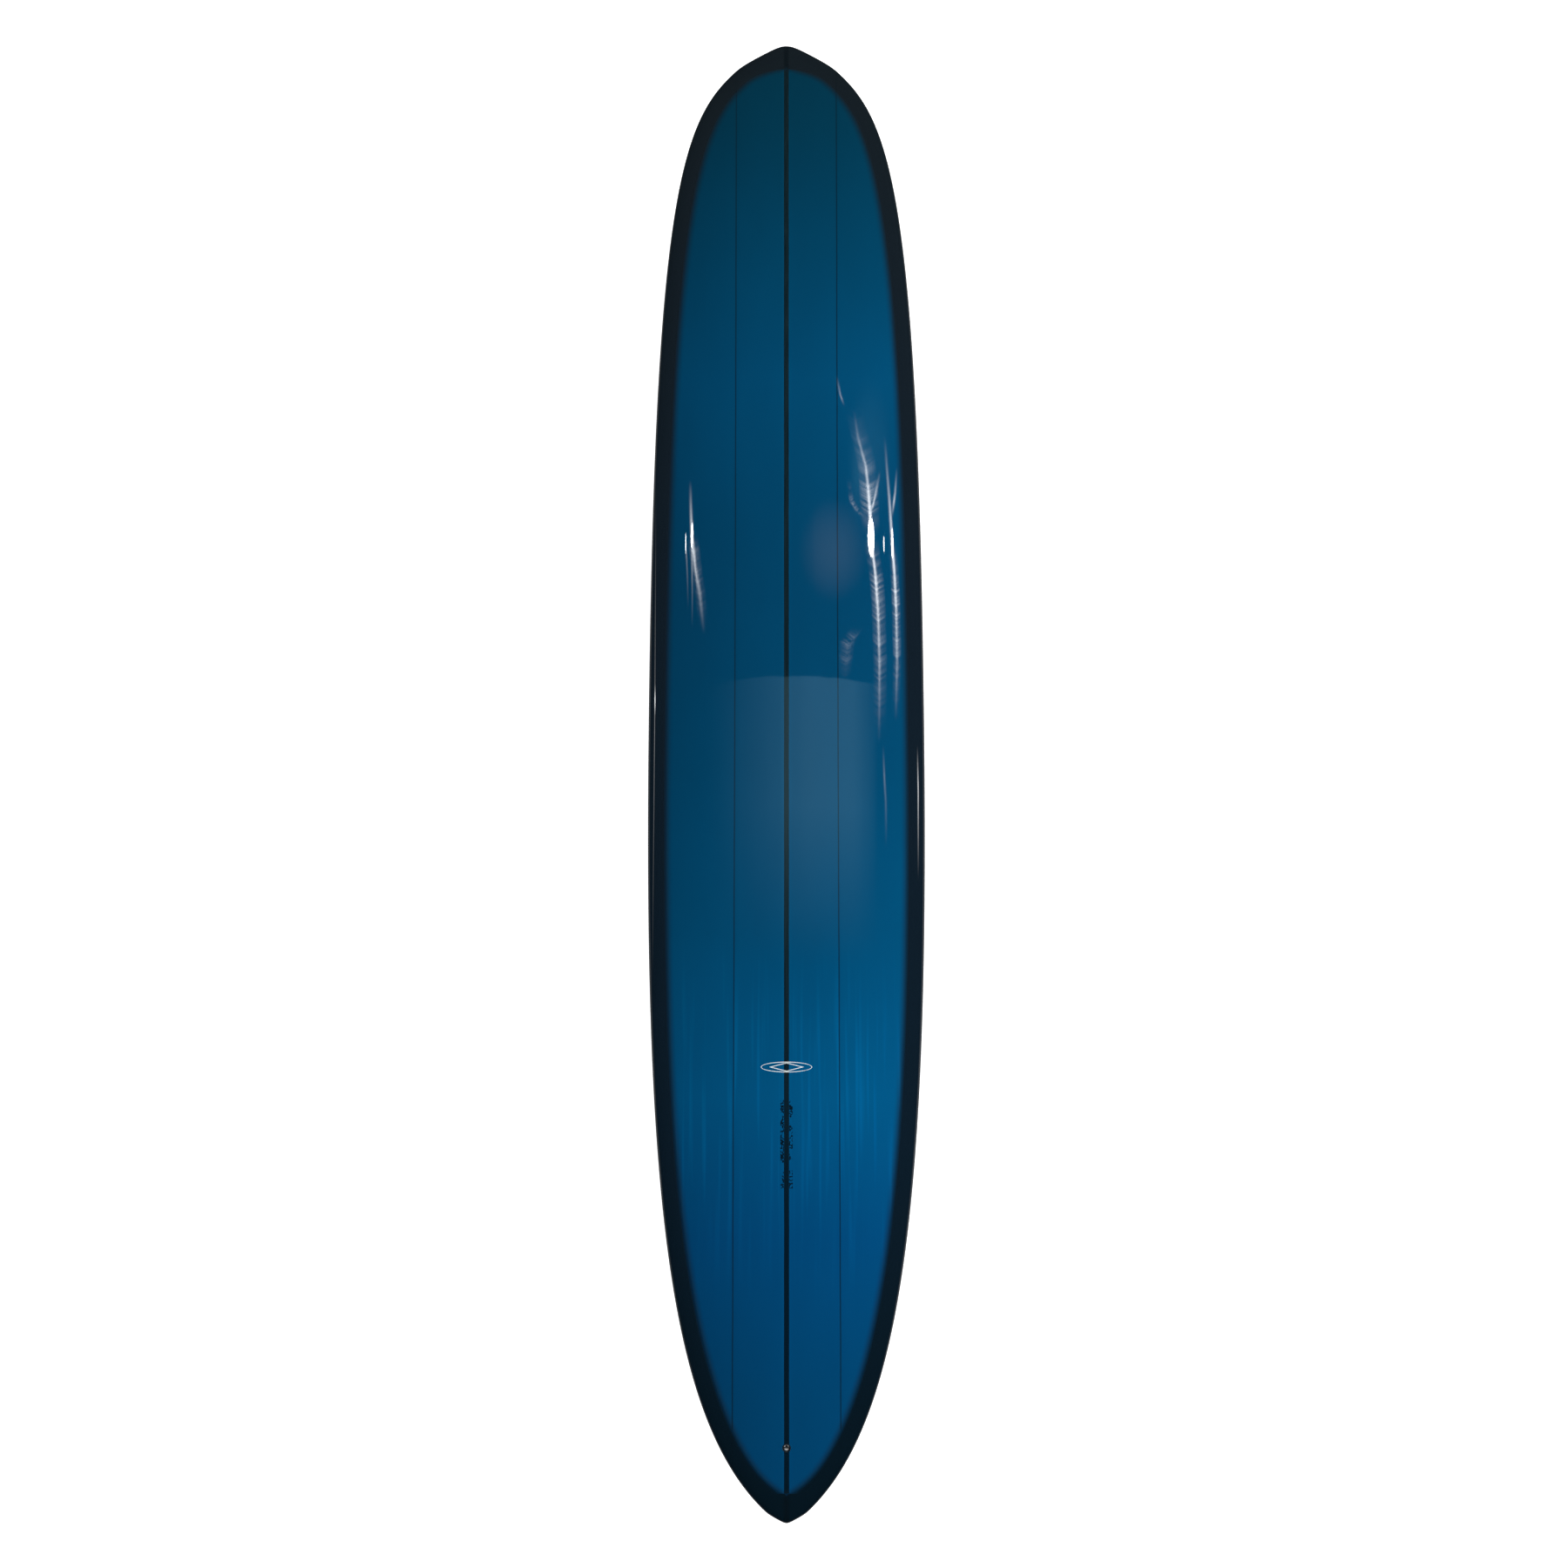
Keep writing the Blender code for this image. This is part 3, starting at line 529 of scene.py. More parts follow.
# %% Node helpers
class Graph:
    """A node tree with short names for the nodes used here; each method returns an output. where is
    the vector that patterns follow, and end is the node that takes the results."""

    def __init__(self, tree, where=None, end=None):
        self.tree, self.where, self.end = tree, where, end

    def feed(self, node, key, value):
        """Join a socket to a node's input, or set the input to a value."""
        if isinstance(value, bpy.types.NodeSocket):
            self.tree.links.new(value, node.inputs[key])
        else:
            node.inputs[key].default_value = value

    def node(self, kind, inputs=None, **settings):
        """Add a shader node, set its options, and feed its inputs by name or number."""
        made = self.tree.nodes.new("ShaderNode" + kind)
        for key, value in settings.items():
            setattr(made, key, value)
        for key, value in (inputs or {}).items():
            self.feed(made, key, value)
        return made

    def set(self, **inputs):
        """Feed the end node; underscores in names stand for spaces."""
        for key, value in inputs.items():
            self.feed(self.end, key.replace("_", " "), value)

    def math(self, operation, a, b=0.0, c=0.0):
        return self.node("Math", {0: a, 1: b, 2: c}, operation=operation).outputs[0]

    def times(self, a, b):
        return self.math("MULTIPLY", a, b)

    def scaled(self, a, by, plus):
        """a times by, plus the last."""
        return self.math("MULTIPLY_ADD", a, by, plus)

    def away(self, a, b=0.0):
        """How far a is from b."""
        return self.math("ABSOLUTE", self.math("SUBTRACT", a, b))

    def ramp(self, value, low, high, to_low=0.0, to_high=1.0, easing="SMOOTHSTEP"):
        """A value mapped from one range to another, eased at both ends."""
        inputs = {0: value, 1: low, 2: high, 3: to_low, 4: to_high}
        return self.node("MapRange", inputs, interpolation_type=easing).outputs[0]

    def mix(self, share, a, b, way="MIX"):
        """Two colours mixed by a share; a plain colour is given as three numbers."""
        a, b = ((*c, 1) if isinstance(c, tuple) else c for c in (a, b))
        return self.node("Mix", {0: share, 6: a, 7: b}, data_type="RGBA", blend_type=way).outputs[2]

    def shade(self, colour, amount):
        """A colour made lighter or darker by a factor."""
        grey = self.node("CombineColor", {0: amount, 1: amount, 2: amount}).outputs[0]
        return self.mix(1.0, colour, grey, "MULTIPLY")

    def noise(self, scale, detail, **more):
        inputs = {"Vector": self.where, "Scale": scale, "Detail": detail, **more}
        return self.node("TexNoise", inputs).outputs[0]

    def cells(self, scale):
        return self.node("TexVoronoi", {"Vector": self.where, "Scale": scale}).outputs["Distance"]

    def vector(self, operation, a, b, output="Vector"):
        return self.node("VectorMath", {0: a, 1: b}, operation=operation).outputs[output]

    def stretched(self, *by):
        """The pattern's vector multiplied along each axis."""
        return self.vector("MULTIPLY", self.where, by)

    def split(self, vector=None):
        return self.node("SeparateXYZ", {0: vector or self.where}).outputs

    def colours(self, value, stops):
        """A value turned into colour: stops are (position, colour) from low to high."""
        made = self.node("ValToRGB", {0: value})
        elements = made.color_ramp.elements
        for element, (at, colour) in zip(elements, (stops[0], stops[-1])):
            element.position, element.color = at, (*colour, 1)
        for at, colour in stops[1:-1]:
            elements.new(at).color = (*colour, 1)
        return made.outputs[0]

    def use(self, group, **inputs):
        """Place a node group and give its outputs."""
        return self.node("Group", {"Vector": self.where, **inputs}, node_tree=group).outputs


def new_group(name, outputs, *extras):
    """A node group fed by a vector and by extra numbers; returns its graph and its inputs."""
    group = bpy.data.node_groups.new(name, "ShaderNodeTree")
    sockets = [("Vector", "INPUT", "Vector"), *((label, "INPUT", "Float") for label in extras),
               *((label, "OUTPUT", kind) for label, kind in outputs.items())]
    for label, side, kind in sockets:
        group.interface.new_socket(label, in_out=side, socket_type="NodeSocket" + kind)
    get = group.nodes.new("NodeGroupInput").outputs
    return Graph(group, get["Vector"], group.nodes.new("NodeGroupOutput")), get


print("shader helpers ready")

# %% [markdown]
# ## Shared effects
# Resin is never perfectly even: it pools and thins in clouds drawn out along the board. Hand
# polishing leaves hair scratches and long shallow ripples in the gloss. The cloth shows as a
# faint square weave. Wood has fine lines along its grain. The blue itself is a group too, because
# the dark skin has to fade into exactly the same blue where its edge lies on the deck.

# %% Effect groups
def make_clouds():
    """Long soft patches, broad and fine noise averaged, given as a value round zero."""
    g, get = new_group("resin_clouds", {"Cloud": "Float"}, "Scale")
    drawn = g.stretched(1.0, 0.33, 1.0)
    broad = g.noise(get["Scale"], 3.0, Vector=drawn)
    fine = g.noise(g.times(get["Scale"], 6.0), 2.0, Vector=drawn)
    both = g.scaled(broad, 0.75, g.times(fine, 0.25))
    g.set(Cloud=g.times(g.math("SUBTRACT", both, 0.5), 2.0))
    return g.tree


def make_polish():
    """Hair scratches in three crossing directions, and long ripples, as heights."""
    g, get = new_group("hand_polish", {"Ripples": "Float", "Scratches": "Float"}, "Ripple")
    wave = g.noise(26.0, 1.5, Vector=g.stretched(1.0, 0.10, 1.0), Roughness=0.4)
    total = 0.0
    for turn, squeeze in ((0.16, (520.0, 14.0, 60.0)), (-0.22, (430.0, 11.0, 60.0)),
                          (1.2, (300.0, 16.0, 60.0))):
        spun = g.node("VectorRotate", {"Vector": g.where, "Angle": turn}, rotation_type="Z_AXIS")
        hair = g.noise(1.0, 1.0, Vector=g.vector("MULTIPLY", spun.outputs[0], squeeze))
        total = g.math("ADD", g.ramp(hair, 0.60, 0.74), total)
    g.set(Ripples=g.times(wave, get["Ripple"]), Scratches=total)
    return g.tree


def make_cloth():
    """A plain weave: two sets of threads across each other, brighter where one lies on top."""
    g, get = new_group("glass_cloth", {"Weave": "Float"}, "Pitch")
    warp, weft = (g.math("SINE", g.times(g.math("DIVIDE", along, get["Pitch"]), math.pi))
                  for along in g.split()[:2])
    g.set(Weave=g.times(warp, weft))
    return g.tree


def make_grain():
    """Wood grain: noise squeezed across and drawn out along the piece."""
    g, _ = new_group("wood_grain", {"Grain": "Float"})
    g.set(Grain=g.noise(1.0, 5.0, Vector=g.stretched(900.0, 7.0, 260.0), Roughness=0.65))
    return g.tree


def share_of_length(g, y):
    """0 at the tail's tip and 1 at the nose's."""
    return g.ramp(y, -HALF_LENGTH, HALF_LENGTH, easing="LINEAR")


def make_side_lit_blue():
    """The deck's blue along the board: a ramp over Y, whose lighter stops about a quarter of the way from
    the tail are partly painted reflection, times slow clouds and a slant across it that is painted light,
    making the right side lighter as if lit from that side.
    """
    g, _ = new_group("blue_resin_side_lit", {"Tint": "Color"})
    x, y, _ = g.split()
    # the stops from 0.18 to 0.38 are partly painted reflection: a lighter band toward the tail
    tint = g.colours(share_of_length(g, y), (
        (0.0, (0.0004, 0.048, 0.132)), (0.08, (0.0004, 0.051, 0.141)), (0.18, (0.0004, 0.056, 0.164)),
        (0.27, (0.0004, 0.077, 0.196)), (0.38, (0.0005, 0.061, 0.147)), (0.49, (0.0006, 0.053, 0.126)),
        (0.61, (0.0006, 0.049, 0.118)), (0.76, (0.0006, 0.056, 0.135)), (0.85, (0.0006, 0.045, 0.100)),
        (0.94, (0.0008, 0.034, 0.068)), (1.0, (0.0010, 0.029, 0.054))))
    cloud = g.use(CLOUDS, Scale=2.2)["Cloud"]
    # x times 0.75 plus one is painted light, lighter on the right as if lit from the right; the clouds are
    # the resin's own uneven tone
    g.set(Tint=g.shade(tint, g.scaled(cloud, 0.22, g.scaled(x, 0.75, 1.0))))
    return g.tree


CLOUDS, POLISH, CLOTH, GRAIN = make_clouds(), make_polish(), make_cloth(), make_grain()
SIDE_LIT_BLUE = make_side_lit_blue()
print("groups:", [g.name for g in (CLOUDS, POLISH, CLOTH, GRAIN, SIDE_LIT_BLUE)])

# %% [markdown]
# ## Starting a finish
# Each finish begins the same way: a Principled shader whose fixed values are set on its own
# sockets, and Object coordinates in metres, so a pattern stays where it belongs on the board.

# %% Finish helpers
class Finish(Graph):
    """A new material with its Principled shader and Object coordinates."""

    def __init__(self, name, **fixed):
        self.material = bpy.data.materials.new(name)
        self.material.use_nodes = True
        super().__init__(self.material.node_tree)
        self.end = self.tree.nodes["Principled BSDF"]
        self.set(**fixed)
        self.where = self.node("TexCoord").outputs["Object"]

    def wear(self, height, distance=0.001, strength=1.0, socket="Normal"):
        """Feed a height through a Bump node into one of the shader's normals."""
        inputs = {"Strength": strength, "Distance": distance, "Height": height}
        self.feed(self.end, socket, self.node("Bump", inputs).outputs[0])

    def polish(self, ripple, rough, base, scratch, coat=True):
        """Ripples in the gloss, scratches under it, and rougher resin where it is scratched."""
        marks = self.use(POLISH, Ripple=ripple)
        self.set(Roughness=self.scaled(marks["Scratches"], rough, base))
        self.wear(self.scaled(marks["Scratches"], scratch, marks["Ripples"]))
        if coat:
            self.wear(marks["Ripples"], socket="Coat Normal")


def paint(material, *made):
    """Give each piece one finish."""
    for piece in made:
        piece.data.materials.clear()
        piece.data.materials.append(material)


print("finish helpers ready")

# %% [markdown]
# ## Blue deck finish
# Blue resin tint over white foam: a little green toward the nose, purer blue toward the tail,
# with painted light making it a shade lighter on the right, the side the light comes from. The
# stringers show through as a broad dark line and two hair lines, and the tint darkens in a soft
# line where the two skins overlap. Toward the tail, a lighter band and long lighter streaks are
# painted reflections. A strip of plain pencil scribble beside the stringer stands for the shaper's
# notes. Over it all lies a polished clear coat.

# %% Blue deck finish
STRINGER_HALF, SIDE_X, SIDE_HALF = 0.0051, 0.1065, 0.0012
GLOW_HALF, GLOW_SOFT = 0.0095, 0.0090               # paler resin beside the centre stringer
CLOTH_PITCH = 0.0016
LAP_FADE = (-0.0080, 0.0125)                        # from the dark skin to blue, across the trim line
PENCIL_MIDDLE, PENCIL_REACH = -0.7925, (0.086, 0.088)
PENCIL_INNER, PENCIL_OUTER = (0.0050, 0.0056), (0.0118, 0.0130)
# where the painted reflection streaks lie along the board, toward the tail
REFLECTION_STREAKS_MIDDLE, REFLECTION_STREAKS_REACH = -0.74, (0.10, 0.38)


def line_mask(g, x, middle, half, soft):
    """One near the line |x - middle| < half, fading to nothing over soft."""
    return g.ramp(g.away(x, middle), half - soft / 2, half + soft / 2, 1.0, 0.0)


def stringer_lines(f):
    """Masks of the centre line and the two side lines, and the x that sways with the resin."""
    sway = f.noise(9.0, 1.0)
    x = f.scaled(f.math("SUBTRACT", sway, 0.5), 0.0008, f.split()[0])
    centre = line_mask(f, x, 0.0, STRINGER_HALF, 0.0012)
    side = line_mask(f, f.away(x), SIDE_X, SIDE_HALF, 0.0010)
    return centre, side, x


def pencil_marks(f, x, y):
    """Illegible pencil work: thin lines where a fine noise crosses its middle, kept to a strip on
    each side of the stringer and broken up along it."""
    line = f.ramp(f.away(f.noise(160.0, 0.6), 0.5), 0.050, 0.120, 1.0, 0.0)
    line = f.times(line, f.ramp(f.noise(48.0, 0.0), 0.37, 0.43))
    beside = f.away(x)
    strip = f.times(f.ramp(beside, *PENCIL_INNER), f.ramp(beside, *PENCIL_OUTER, 1.0, 0.0))
    return f.times(line, f.times(strip, f.ramp(f.away(y, PENCIL_MIDDLE), *PENCIL_REACH, 1.0, 0.0)))


def lap_edge(f, cloud):
    """0 on the dark side of the trim line and 1 well inside the blue."""
    inside = f.node("Attribute", attribute_name="inside_lap").outputs["Fac"]
    return f.ramp(f.scaled(cloud, 0.0015, inside), *LAP_FADE)


def make_deck_finish():
    f = Finish("blue_gloss", Coat_Weight=1.0, Coat_Roughness=0.015, Coat_IOR=1.5, Specular_IOR_Level=0.0)
    centre, side, swaying = stringer_lines(f)
    glow = line_mask(f, swaying, 0.0, GLOW_HALF, GLOW_SOFT)
    x, y, _ = f.split()
    # painted reflection: long lighter streaks in the blue toward the tail
    reflection_band = f.ramp(f.away(y, REFLECTION_STREAKS_MIDDLE), *REFLECTION_STREAKS_REACH, 1.0, 0.0)
    reflection_streaks = f.noise(1.0, 1.0, Vector=f.stretched(84.0, 2.2, 0.0))
    reflection_streaks = f.times(f.ramp(reflection_streaks, 0.50, 0.72), reflection_band)
    weave = f.use(CLOTH, Pitch=CLOTH_PITCH)["Weave"]
    light = f.scaled(glow, 0.10, f.scaled(reflection_streaks, 0.30, f.scaled(weave, 0.012, 1.0)))
    colour = f.shade(f.use(SIDE_LIT_BLUE)["Tint"], light)
    colour = f.mix(f.times(side, 0.85), colour, (0.003, 0.014, 0.026))
    grain = f.use(GRAIN)["Grain"]
    wood = f.mix(f.ramp(grain, 0.35, 0.70), (0.0032, 0.0100, 0.0130), (0.0080, 0.0185, 0.0225))
    wood = f.mix(f.ramp(y, -1.0, -0.35, 0.85, 0.0), wood, (0.0008, 0.0065, 0.0130))
    colour = f.mix(f.times(centre, 0.97), colour, wood)
    colour = f.mix(pencil_marks(f, x, y), colour, (0.0012, 0.0070, 0.0140))
    cloud = f.use(CLOUDS, Scale=2.2)["Cloud"]
    f.set(Base_Color=f.mix(lap_edge(f, cloud), (0.0058, 0.0130, 0.0215), colour))
    f.polish(ripple=0.14, rough=0.10, base=0.12, scratch=0.012)
    return f.material


paint(make_deck_finish(), deck)
print("deck finish:", len(deck.data.materials[0].node_tree.nodes), "nodes")

# %% [markdown]
# ## Dark bottom finish
# The bottom cloth is wetted with a nearly black navy resin, so foam and stringer only just
# show. Where it laps the deck it lies over blue and is polished with it.

# %% Dark bottom finish
def make_bottom_finish():
    f = Finish("navy_gloss", Coat_Weight=1.0, Coat_Roughness=0.020, Coat_IOR=1.5, Specular_IOR_Level=0.0)
    centre, side, _ = stringer_lines(f)
    cloud = f.use(CLOUDS, Scale=3.0)["Cloud"]
    weave = f.use(CLOTH, Pitch=CLOTH_PITCH)["Weave"]
    tone = f.scaled(weave, 0.05, f.scaled(cloud, 0.5, 0.5))
    navy = f.colours(share_of_length(f, f.split()[1]), (
        (0.0, (0.0017, 0.0082, 0.0145)), (0.25, (0.0040, 0.0122, 0.0225)),
        (0.6, (0.0062, 0.0130, 0.0215)), (1.0, (0.0092, 0.0142, 0.0180))))
    colour = f.mix(f.times(tone, 0.30), navy, (0.0020, 0.0045, 0.0080))
    dark = f.scaled(side, 0.25, f.times(centre, 0.55))
    colour = f.mix(dark, colour, (0.0020, 0.0045, 0.0070))
    f.set(Base_Color=f.mix(lap_edge(f, cloud), colour, f.use(SIDE_LIT_BLUE)["Tint"]))
    f.polish(ripple=0.25, rough=0.08, base=0.19, scratch=0.010)
    return f.material


paint(make_bottom_finish(), bottom)
print("bottom finish ready")

# %% [markdown]
# ## Ink, cup and metals
# The printed mark is thin white ink, slightly broken where it soaked into the cloth. The cup is
# pale plastic with dark resin over its rim, and a dark spot toward the nose end of its bowl is
# painted shade of its hollow. Bar, screw, pin and plate are turned or stamped metal, with fine
# machining lines and dull patches.

# %% Ink, cup and metal finishes
# the dark spot toward the nose end of the bowl is painted shade of the cup's hollow
CUP_SHADE_SPOT, SHADE_SPOT_EDGE, RIM_EDGE = (0.0, 0.0018, 0.0), (0.0020, 0.0034), (CUP_IN - 0.0014, CUP_IN - 0.0009)


def make_ink():
    f = Finish("white_ink", Roughness=0.35, Coat_Weight=1.0, Coat_Roughness=0.03)
    noise = f.noise(900.0, 3.0)
    f.set(Base_Color=f.mix(f.ramp(noise, 0.30, 0.55), (0.40, 0.52, 0.58), (0.82, 0.88, 0.88)))
    f.wear(noise, distance=0.00005)
    return f.material


def make_cup_finish():
    f = Finish("cup_plastic", Roughness=0.40, Specular_IOR_Level=0.12)
    x, y, _ = f.split(f.vector("SUBTRACT", f.where, (0.0, CUP_Y, CUP_TOP)))
    level = f.node("CombineXYZ", {0: x, 1: y}).outputs[0]
    noise = f.noise(700.0, 3.0)
    colour = f.mix(noise, (0.80, 0.81, 0.82), (0.94, 0.95, 0.96))
    # painted shade: dark toward the nose end of the bowl
    painted_shade = f.ramp(f.vector("DISTANCE", level, CUP_SHADE_SPOT, "Value"), *SHADE_SPOT_EDGE, 1.0, 0.0)
    colour = f.mix(painted_shade, colour, (0.010, 0.014, 0.018))
    rim = f.ramp(f.vector("LENGTH", level, (0.0, 0.0, 0.0), "Value"), *RIM_EDGE)
    f.set(Base_Color=f.mix(rim, colour, (0.006, 0.012, 0.018)))
    f.wear(noise, distance=0.00003)
    return f.material


def make_metal(name, colour, dull, rough):
    """Metal with fine lines across it and duller patches."""
    f = Finish(name, Metallic=1.0)
    lines = f.noise(1.0, 2.0, Vector=f.stretched(600.0, 9000.0, 600.0))
    share = f.ramp(f.noise(400.0, 4.0), 0.42, 0.66)
    f.set(Base_Color=f.mix(share, colour, dull), Roughness=f.scaled(share, 0.22, rough))
    f.wear(lines, distance=0.00004)
    return f.material


paint(make_ink(), mark)
paint(make_cup_finish(), cup)
paint(make_metal("worn_steel", (0.62, 0.63, 0.64), (0.40, 0.40, 0.39), 0.22), bar, screw)
paint(make_metal("aged_brass", (0.66, 0.49, 0.22), (0.34, 0.23, 0.10), 0.30),
      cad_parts["fin_pin"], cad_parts["fin_plate"])
print("ink, cup and metals ready")

# %% [markdown]
# ## Fin, box, foam and wood
# The fin is black tinted fibreglass: sanding its foil through the layers of cloth leaves fine
# contour lines, like a map. The box is moulded black plastic with a pebbled face. Foam shows
# its cells and the stringers their grain wherever the board is opened up.

# %% Fin, box, foam and wood finishes
LAYER_PITCH, FIN_CLOTH_PITCH = 0.00042, 0.0013


def make_fin_finish():
    f = Finish("fin_laminate", Coat_Weight=0.8, Coat_Roughness=0.05)
    x, y, z = f.split()
    deep = f.scaled(f.noise(14.0, 2.0), 0.0011, f.away(x))
    layers = f.math("SINE", f.times(deep, 2 * math.pi / LAYER_PITCH))
    flat = f.node("CombineXYZ", {0: y, 1: z}).outputs[0]
    weave = f.use(CLOTH, Vector=flat, Pitch=FIN_CLOTH_PITCH)["Weave"]
    tone = f.scaled(weave, 0.10, f.times(f.ramp(layers, 0.35, 1.0), 0.65))
    f.set(Base_Color=f.mix(tone, (0.0060, 0.0075, 0.0095), (0.0210, 0.0260, 0.0310)))
    f.polish(ripple=0.10, rough=0.07, base=0.22, scratch=0.02, coat=False)
    return f.material


def make_box_finish():
    f = Finish("moulded_black")
    smudge = f.noise(60.0, 4.0)
    f.set(Base_Color=f.mix(smudge, (0.014, 0.015, 0.017), (0.034, 0.035, 0.038)),
          Roughness=f.ramp(smudge, 0.3, 0.7, 0.40, 0.58))
    f.wear(f.cells(1400.0), distance=0.0001, strength=0.6)
    return f.material


def make_foam():
    f = Finish("foam_blank", Roughness=0.85)
    share = f.scaled(f.use(CLOUDS, Scale=5.0)["Cloud"], 0.5, 0.5)
    f.set(Base_Color=f.mix(share, (0.84, 0.83, 0.78), (0.76, 0.71, 0.58)))
    f.wear(f.cells(1200.0), distance=0.0003)
    return f.material


def make_wood():
    f = Finish("stringer_wood", Roughness=0.55)
    grain = f.use(GRAIN)["Grain"]
    f.set(Base_Color=f.mix(f.ramp(grain, 0.3, 0.7), (0.36, 0.20, 0.10), (0.17, 0.085, 0.038)))
    f.wear(grain, distance=0.0002)
    return f.material


paint(make_fin_finish(), fin)
paint(make_box_finish(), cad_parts["fin_box"])
paint(make_foam(), *(node for name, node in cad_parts.items() if name.startswith("foam_")))
paint(make_wood(), *(node for name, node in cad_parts.items() if name.endswith("_stringer")))

# %% [markdown]
# ## Floor and light
# A pale, even floor that is partly its own light keeps the shadow faint. The soft light comes
# from wide panels overhead. A gloss as deep as this one shows whatever stands round it, so the
# surroundings are kept dark to reflections, and a few small lamps and pale cards are hung
# where their mirror images fall on the deck.

# %% Floor and surroundings
def glow_material(name, tint, brightness, fading=False):
    """A plain light source as a material. A fading one is multiplied by the mesh's "glow" values
    and adds its light to what lies behind it."""
    material = bpy.data.materials.new(name)
    material.use_nodes = True
    g = Graph(material.node_tree)
    g.tree.nodes.clear()
    if fading:
        brightness = g.times(g.node("Attribute", attribute_name="glow").outputs["Fac"], brightness)
    light = g.node("Emission", {"Color": (*tint, 1), "Strength": brightness}).outputs[0]
    if fading:
        light = g.node("AddShader", {0: light, 1: g.node("BsdfTransparent").outputs[0]}).outputs[0]
    g.node("OutputMaterial", {0: light})
    return material


def make_floor():
    side = np.linspace(-9, 9, 19)
    x, y = np.meshgrid(side, side, indexing="ij")
    made = solid("floor", joined_up(x, y, -0.0005), closed=False)
    f = Finish("pale_floor", Base_Color=(0.55, 0.55, 0.55, 1), Roughness=0.9, Specular_IOR_Level=0.1,
               Emission_Color=(1, 1, 1, 1))
    ray = f.node("LightPath").outputs["Is Camera Ray"]
    f.set(Emission_Strength=f.ramp(ray, 0.0, 1.0, 0.10, 1.0, easing="LINEAR"))
    paint(f.material, made)


def make_backdrop(radius=20.0):
    """A half dome of white light round the stage: radius times sine and cosine of two angles. Only
    the camera sees it, so it whitens the background without showing in the gloss."""
    up = np.linspace(-0.15, np.pi / 2 - 0.001, 24)[:, None]
    around = np.linspace(0, 2 * np.pi, 48, endpoint=False)[None, :]
    x, y = radius * np.cos(up) * np.cos(around), radius * np.cos(up) * np.sin(around)
    made = solid("backdrop", joined_up(x, y, radius * np.sin(up)))
    paint(glow_material("backdrop_glow", (1, 1, 1), 1.0), made)
    made.visible_diffuse = made.visible_glossy = made.visible_transmission = made.visible_shadow = False


make_floor()
make_backdrop()
world = bpy.data.worlds.new("studio")
bpy.context.scene.world = world
world.use_nodes = True
sky = world.node_tree.nodes["Background"].inputs
sky["Color"].default_value, sky["Strength"].default_value = (0.8, 0.9, 1.0, 1), 0.012
bpy.context.scene.view_settings.view_transform = "Standard"
print("floor and surroundings ready")

# %% [markdown]
# ## Camera
# The board is seen from straight above with a slight tilt toward the nose, from about four
# metres, through a normal lens.

# %% Camera
CAMERA_TILT = math.radians(8)
CAMERA_AT = Vector((-0.005, -0.6460, 4.4091))
lens = bpy.data.cameras.new("camera")
lens.lens, lens.sensor_width = 46.73, 36.0
lens.clip_end = 60
camera = bpy.data.objects.new("camera", lens)
bpy.context.scene.collection.objects.link(camera)
camera.location = CAMERA_AT
camera.rotation_euler = (CAMERA_TILT, 0, 0)
bpy.context.scene.camera = camera
print("camera at", [round(v, 3) for v in CAMERA_AT])

# %% [markdown]
# ## Panels, lamps and cards
# To put a glint at a chosen spot, the view ray is mirrored about the deck's normal there, and
# the lamp is hung along the mirrored ray. The normal comes from the deck formula's slopes.

# %% Soft panels
def panel(name, at, toward, size, power, glossy=False, diffuse=True):
    """An area light facing a point."""
    data = bpy.data.lights.new(name, "AREA")
    data.shape, data.size, data.size_y, data.energy = "RECTANGLE", *size, power
    made = bpy.data.objects.new(name, data)
    bpy.context.scene.collection.objects.link(made)
    made.location = at
    back = (Vector(at) - Vector(toward)).normalized()
    side = Vector((0, 1, 0)).cross(back).normalized()
    made.rotation_euler = Matrix((side, back.cross(side), back)).transposed().to_euler()
    made.visible_glossy, made.visible_diffuse, made.visible_camera = glossy, diffuse, False
    return made


panel("overhead_panel", (0.4, 0.2, 5.5), (0, 0, 0.2), (5, 6), 315)
panel("right_panel", (4.5, 0.4, 3.0), (0, 0, 0.2), (3, 5), 135)
panel("left_panel", (-4.5, 0.4, 3.0), (0, 0, 0.2), (3, 5), 34)


def deck_normals(x, y, step=0.002):
    """Upward unit normals from the slopes of the deck's height, by small differences."""
    rise_x = (deck_height(x + step, y) - deck_height(x - step, y)) / (2 * step)
    rise_y = (deck_height(x, y + step) - deck_height(x, y - step)) / (2 * step)
    n = joined_up(-rise_x, -rise_y, 1.0)
    return n / np.linalg.norm(n, axis=-1, keepdims=True)


def mirrored(x, y):
    """The deck's points at (x, y), and the directions in which the camera sees their reflections."""
    x, y = np.asarray(x, float), np.asarray(y, float)
    spot = joined_up(x, y, deck_height(x, y))
    look = spot - np.array(CAMERA_AT)
    look /= np.linalg.norm(look, axis=-1, keepdims=True)
    n = deck_normals(x, y)
    return spot, look - 2 * (look * n).sum(-1, keepdims=True) * n


LAMP_AWAY, CARD_AWAY = 4.0, 5.0                     # how far lamps and cards hang from the deck


def glint(name, x, y, size, brightness):
    """A small oval lamp whose mirror image is seen at (x, y) on the deck."""
    spot, way = mirrored(x, y)
    made = panel(name, spot + way * LAMP_AWAY, spot, size, brightness * math.pi * size[0] * size[1],
                 glossy=True, diffuse=False)
    made.data.shape = "ELLIPSE"


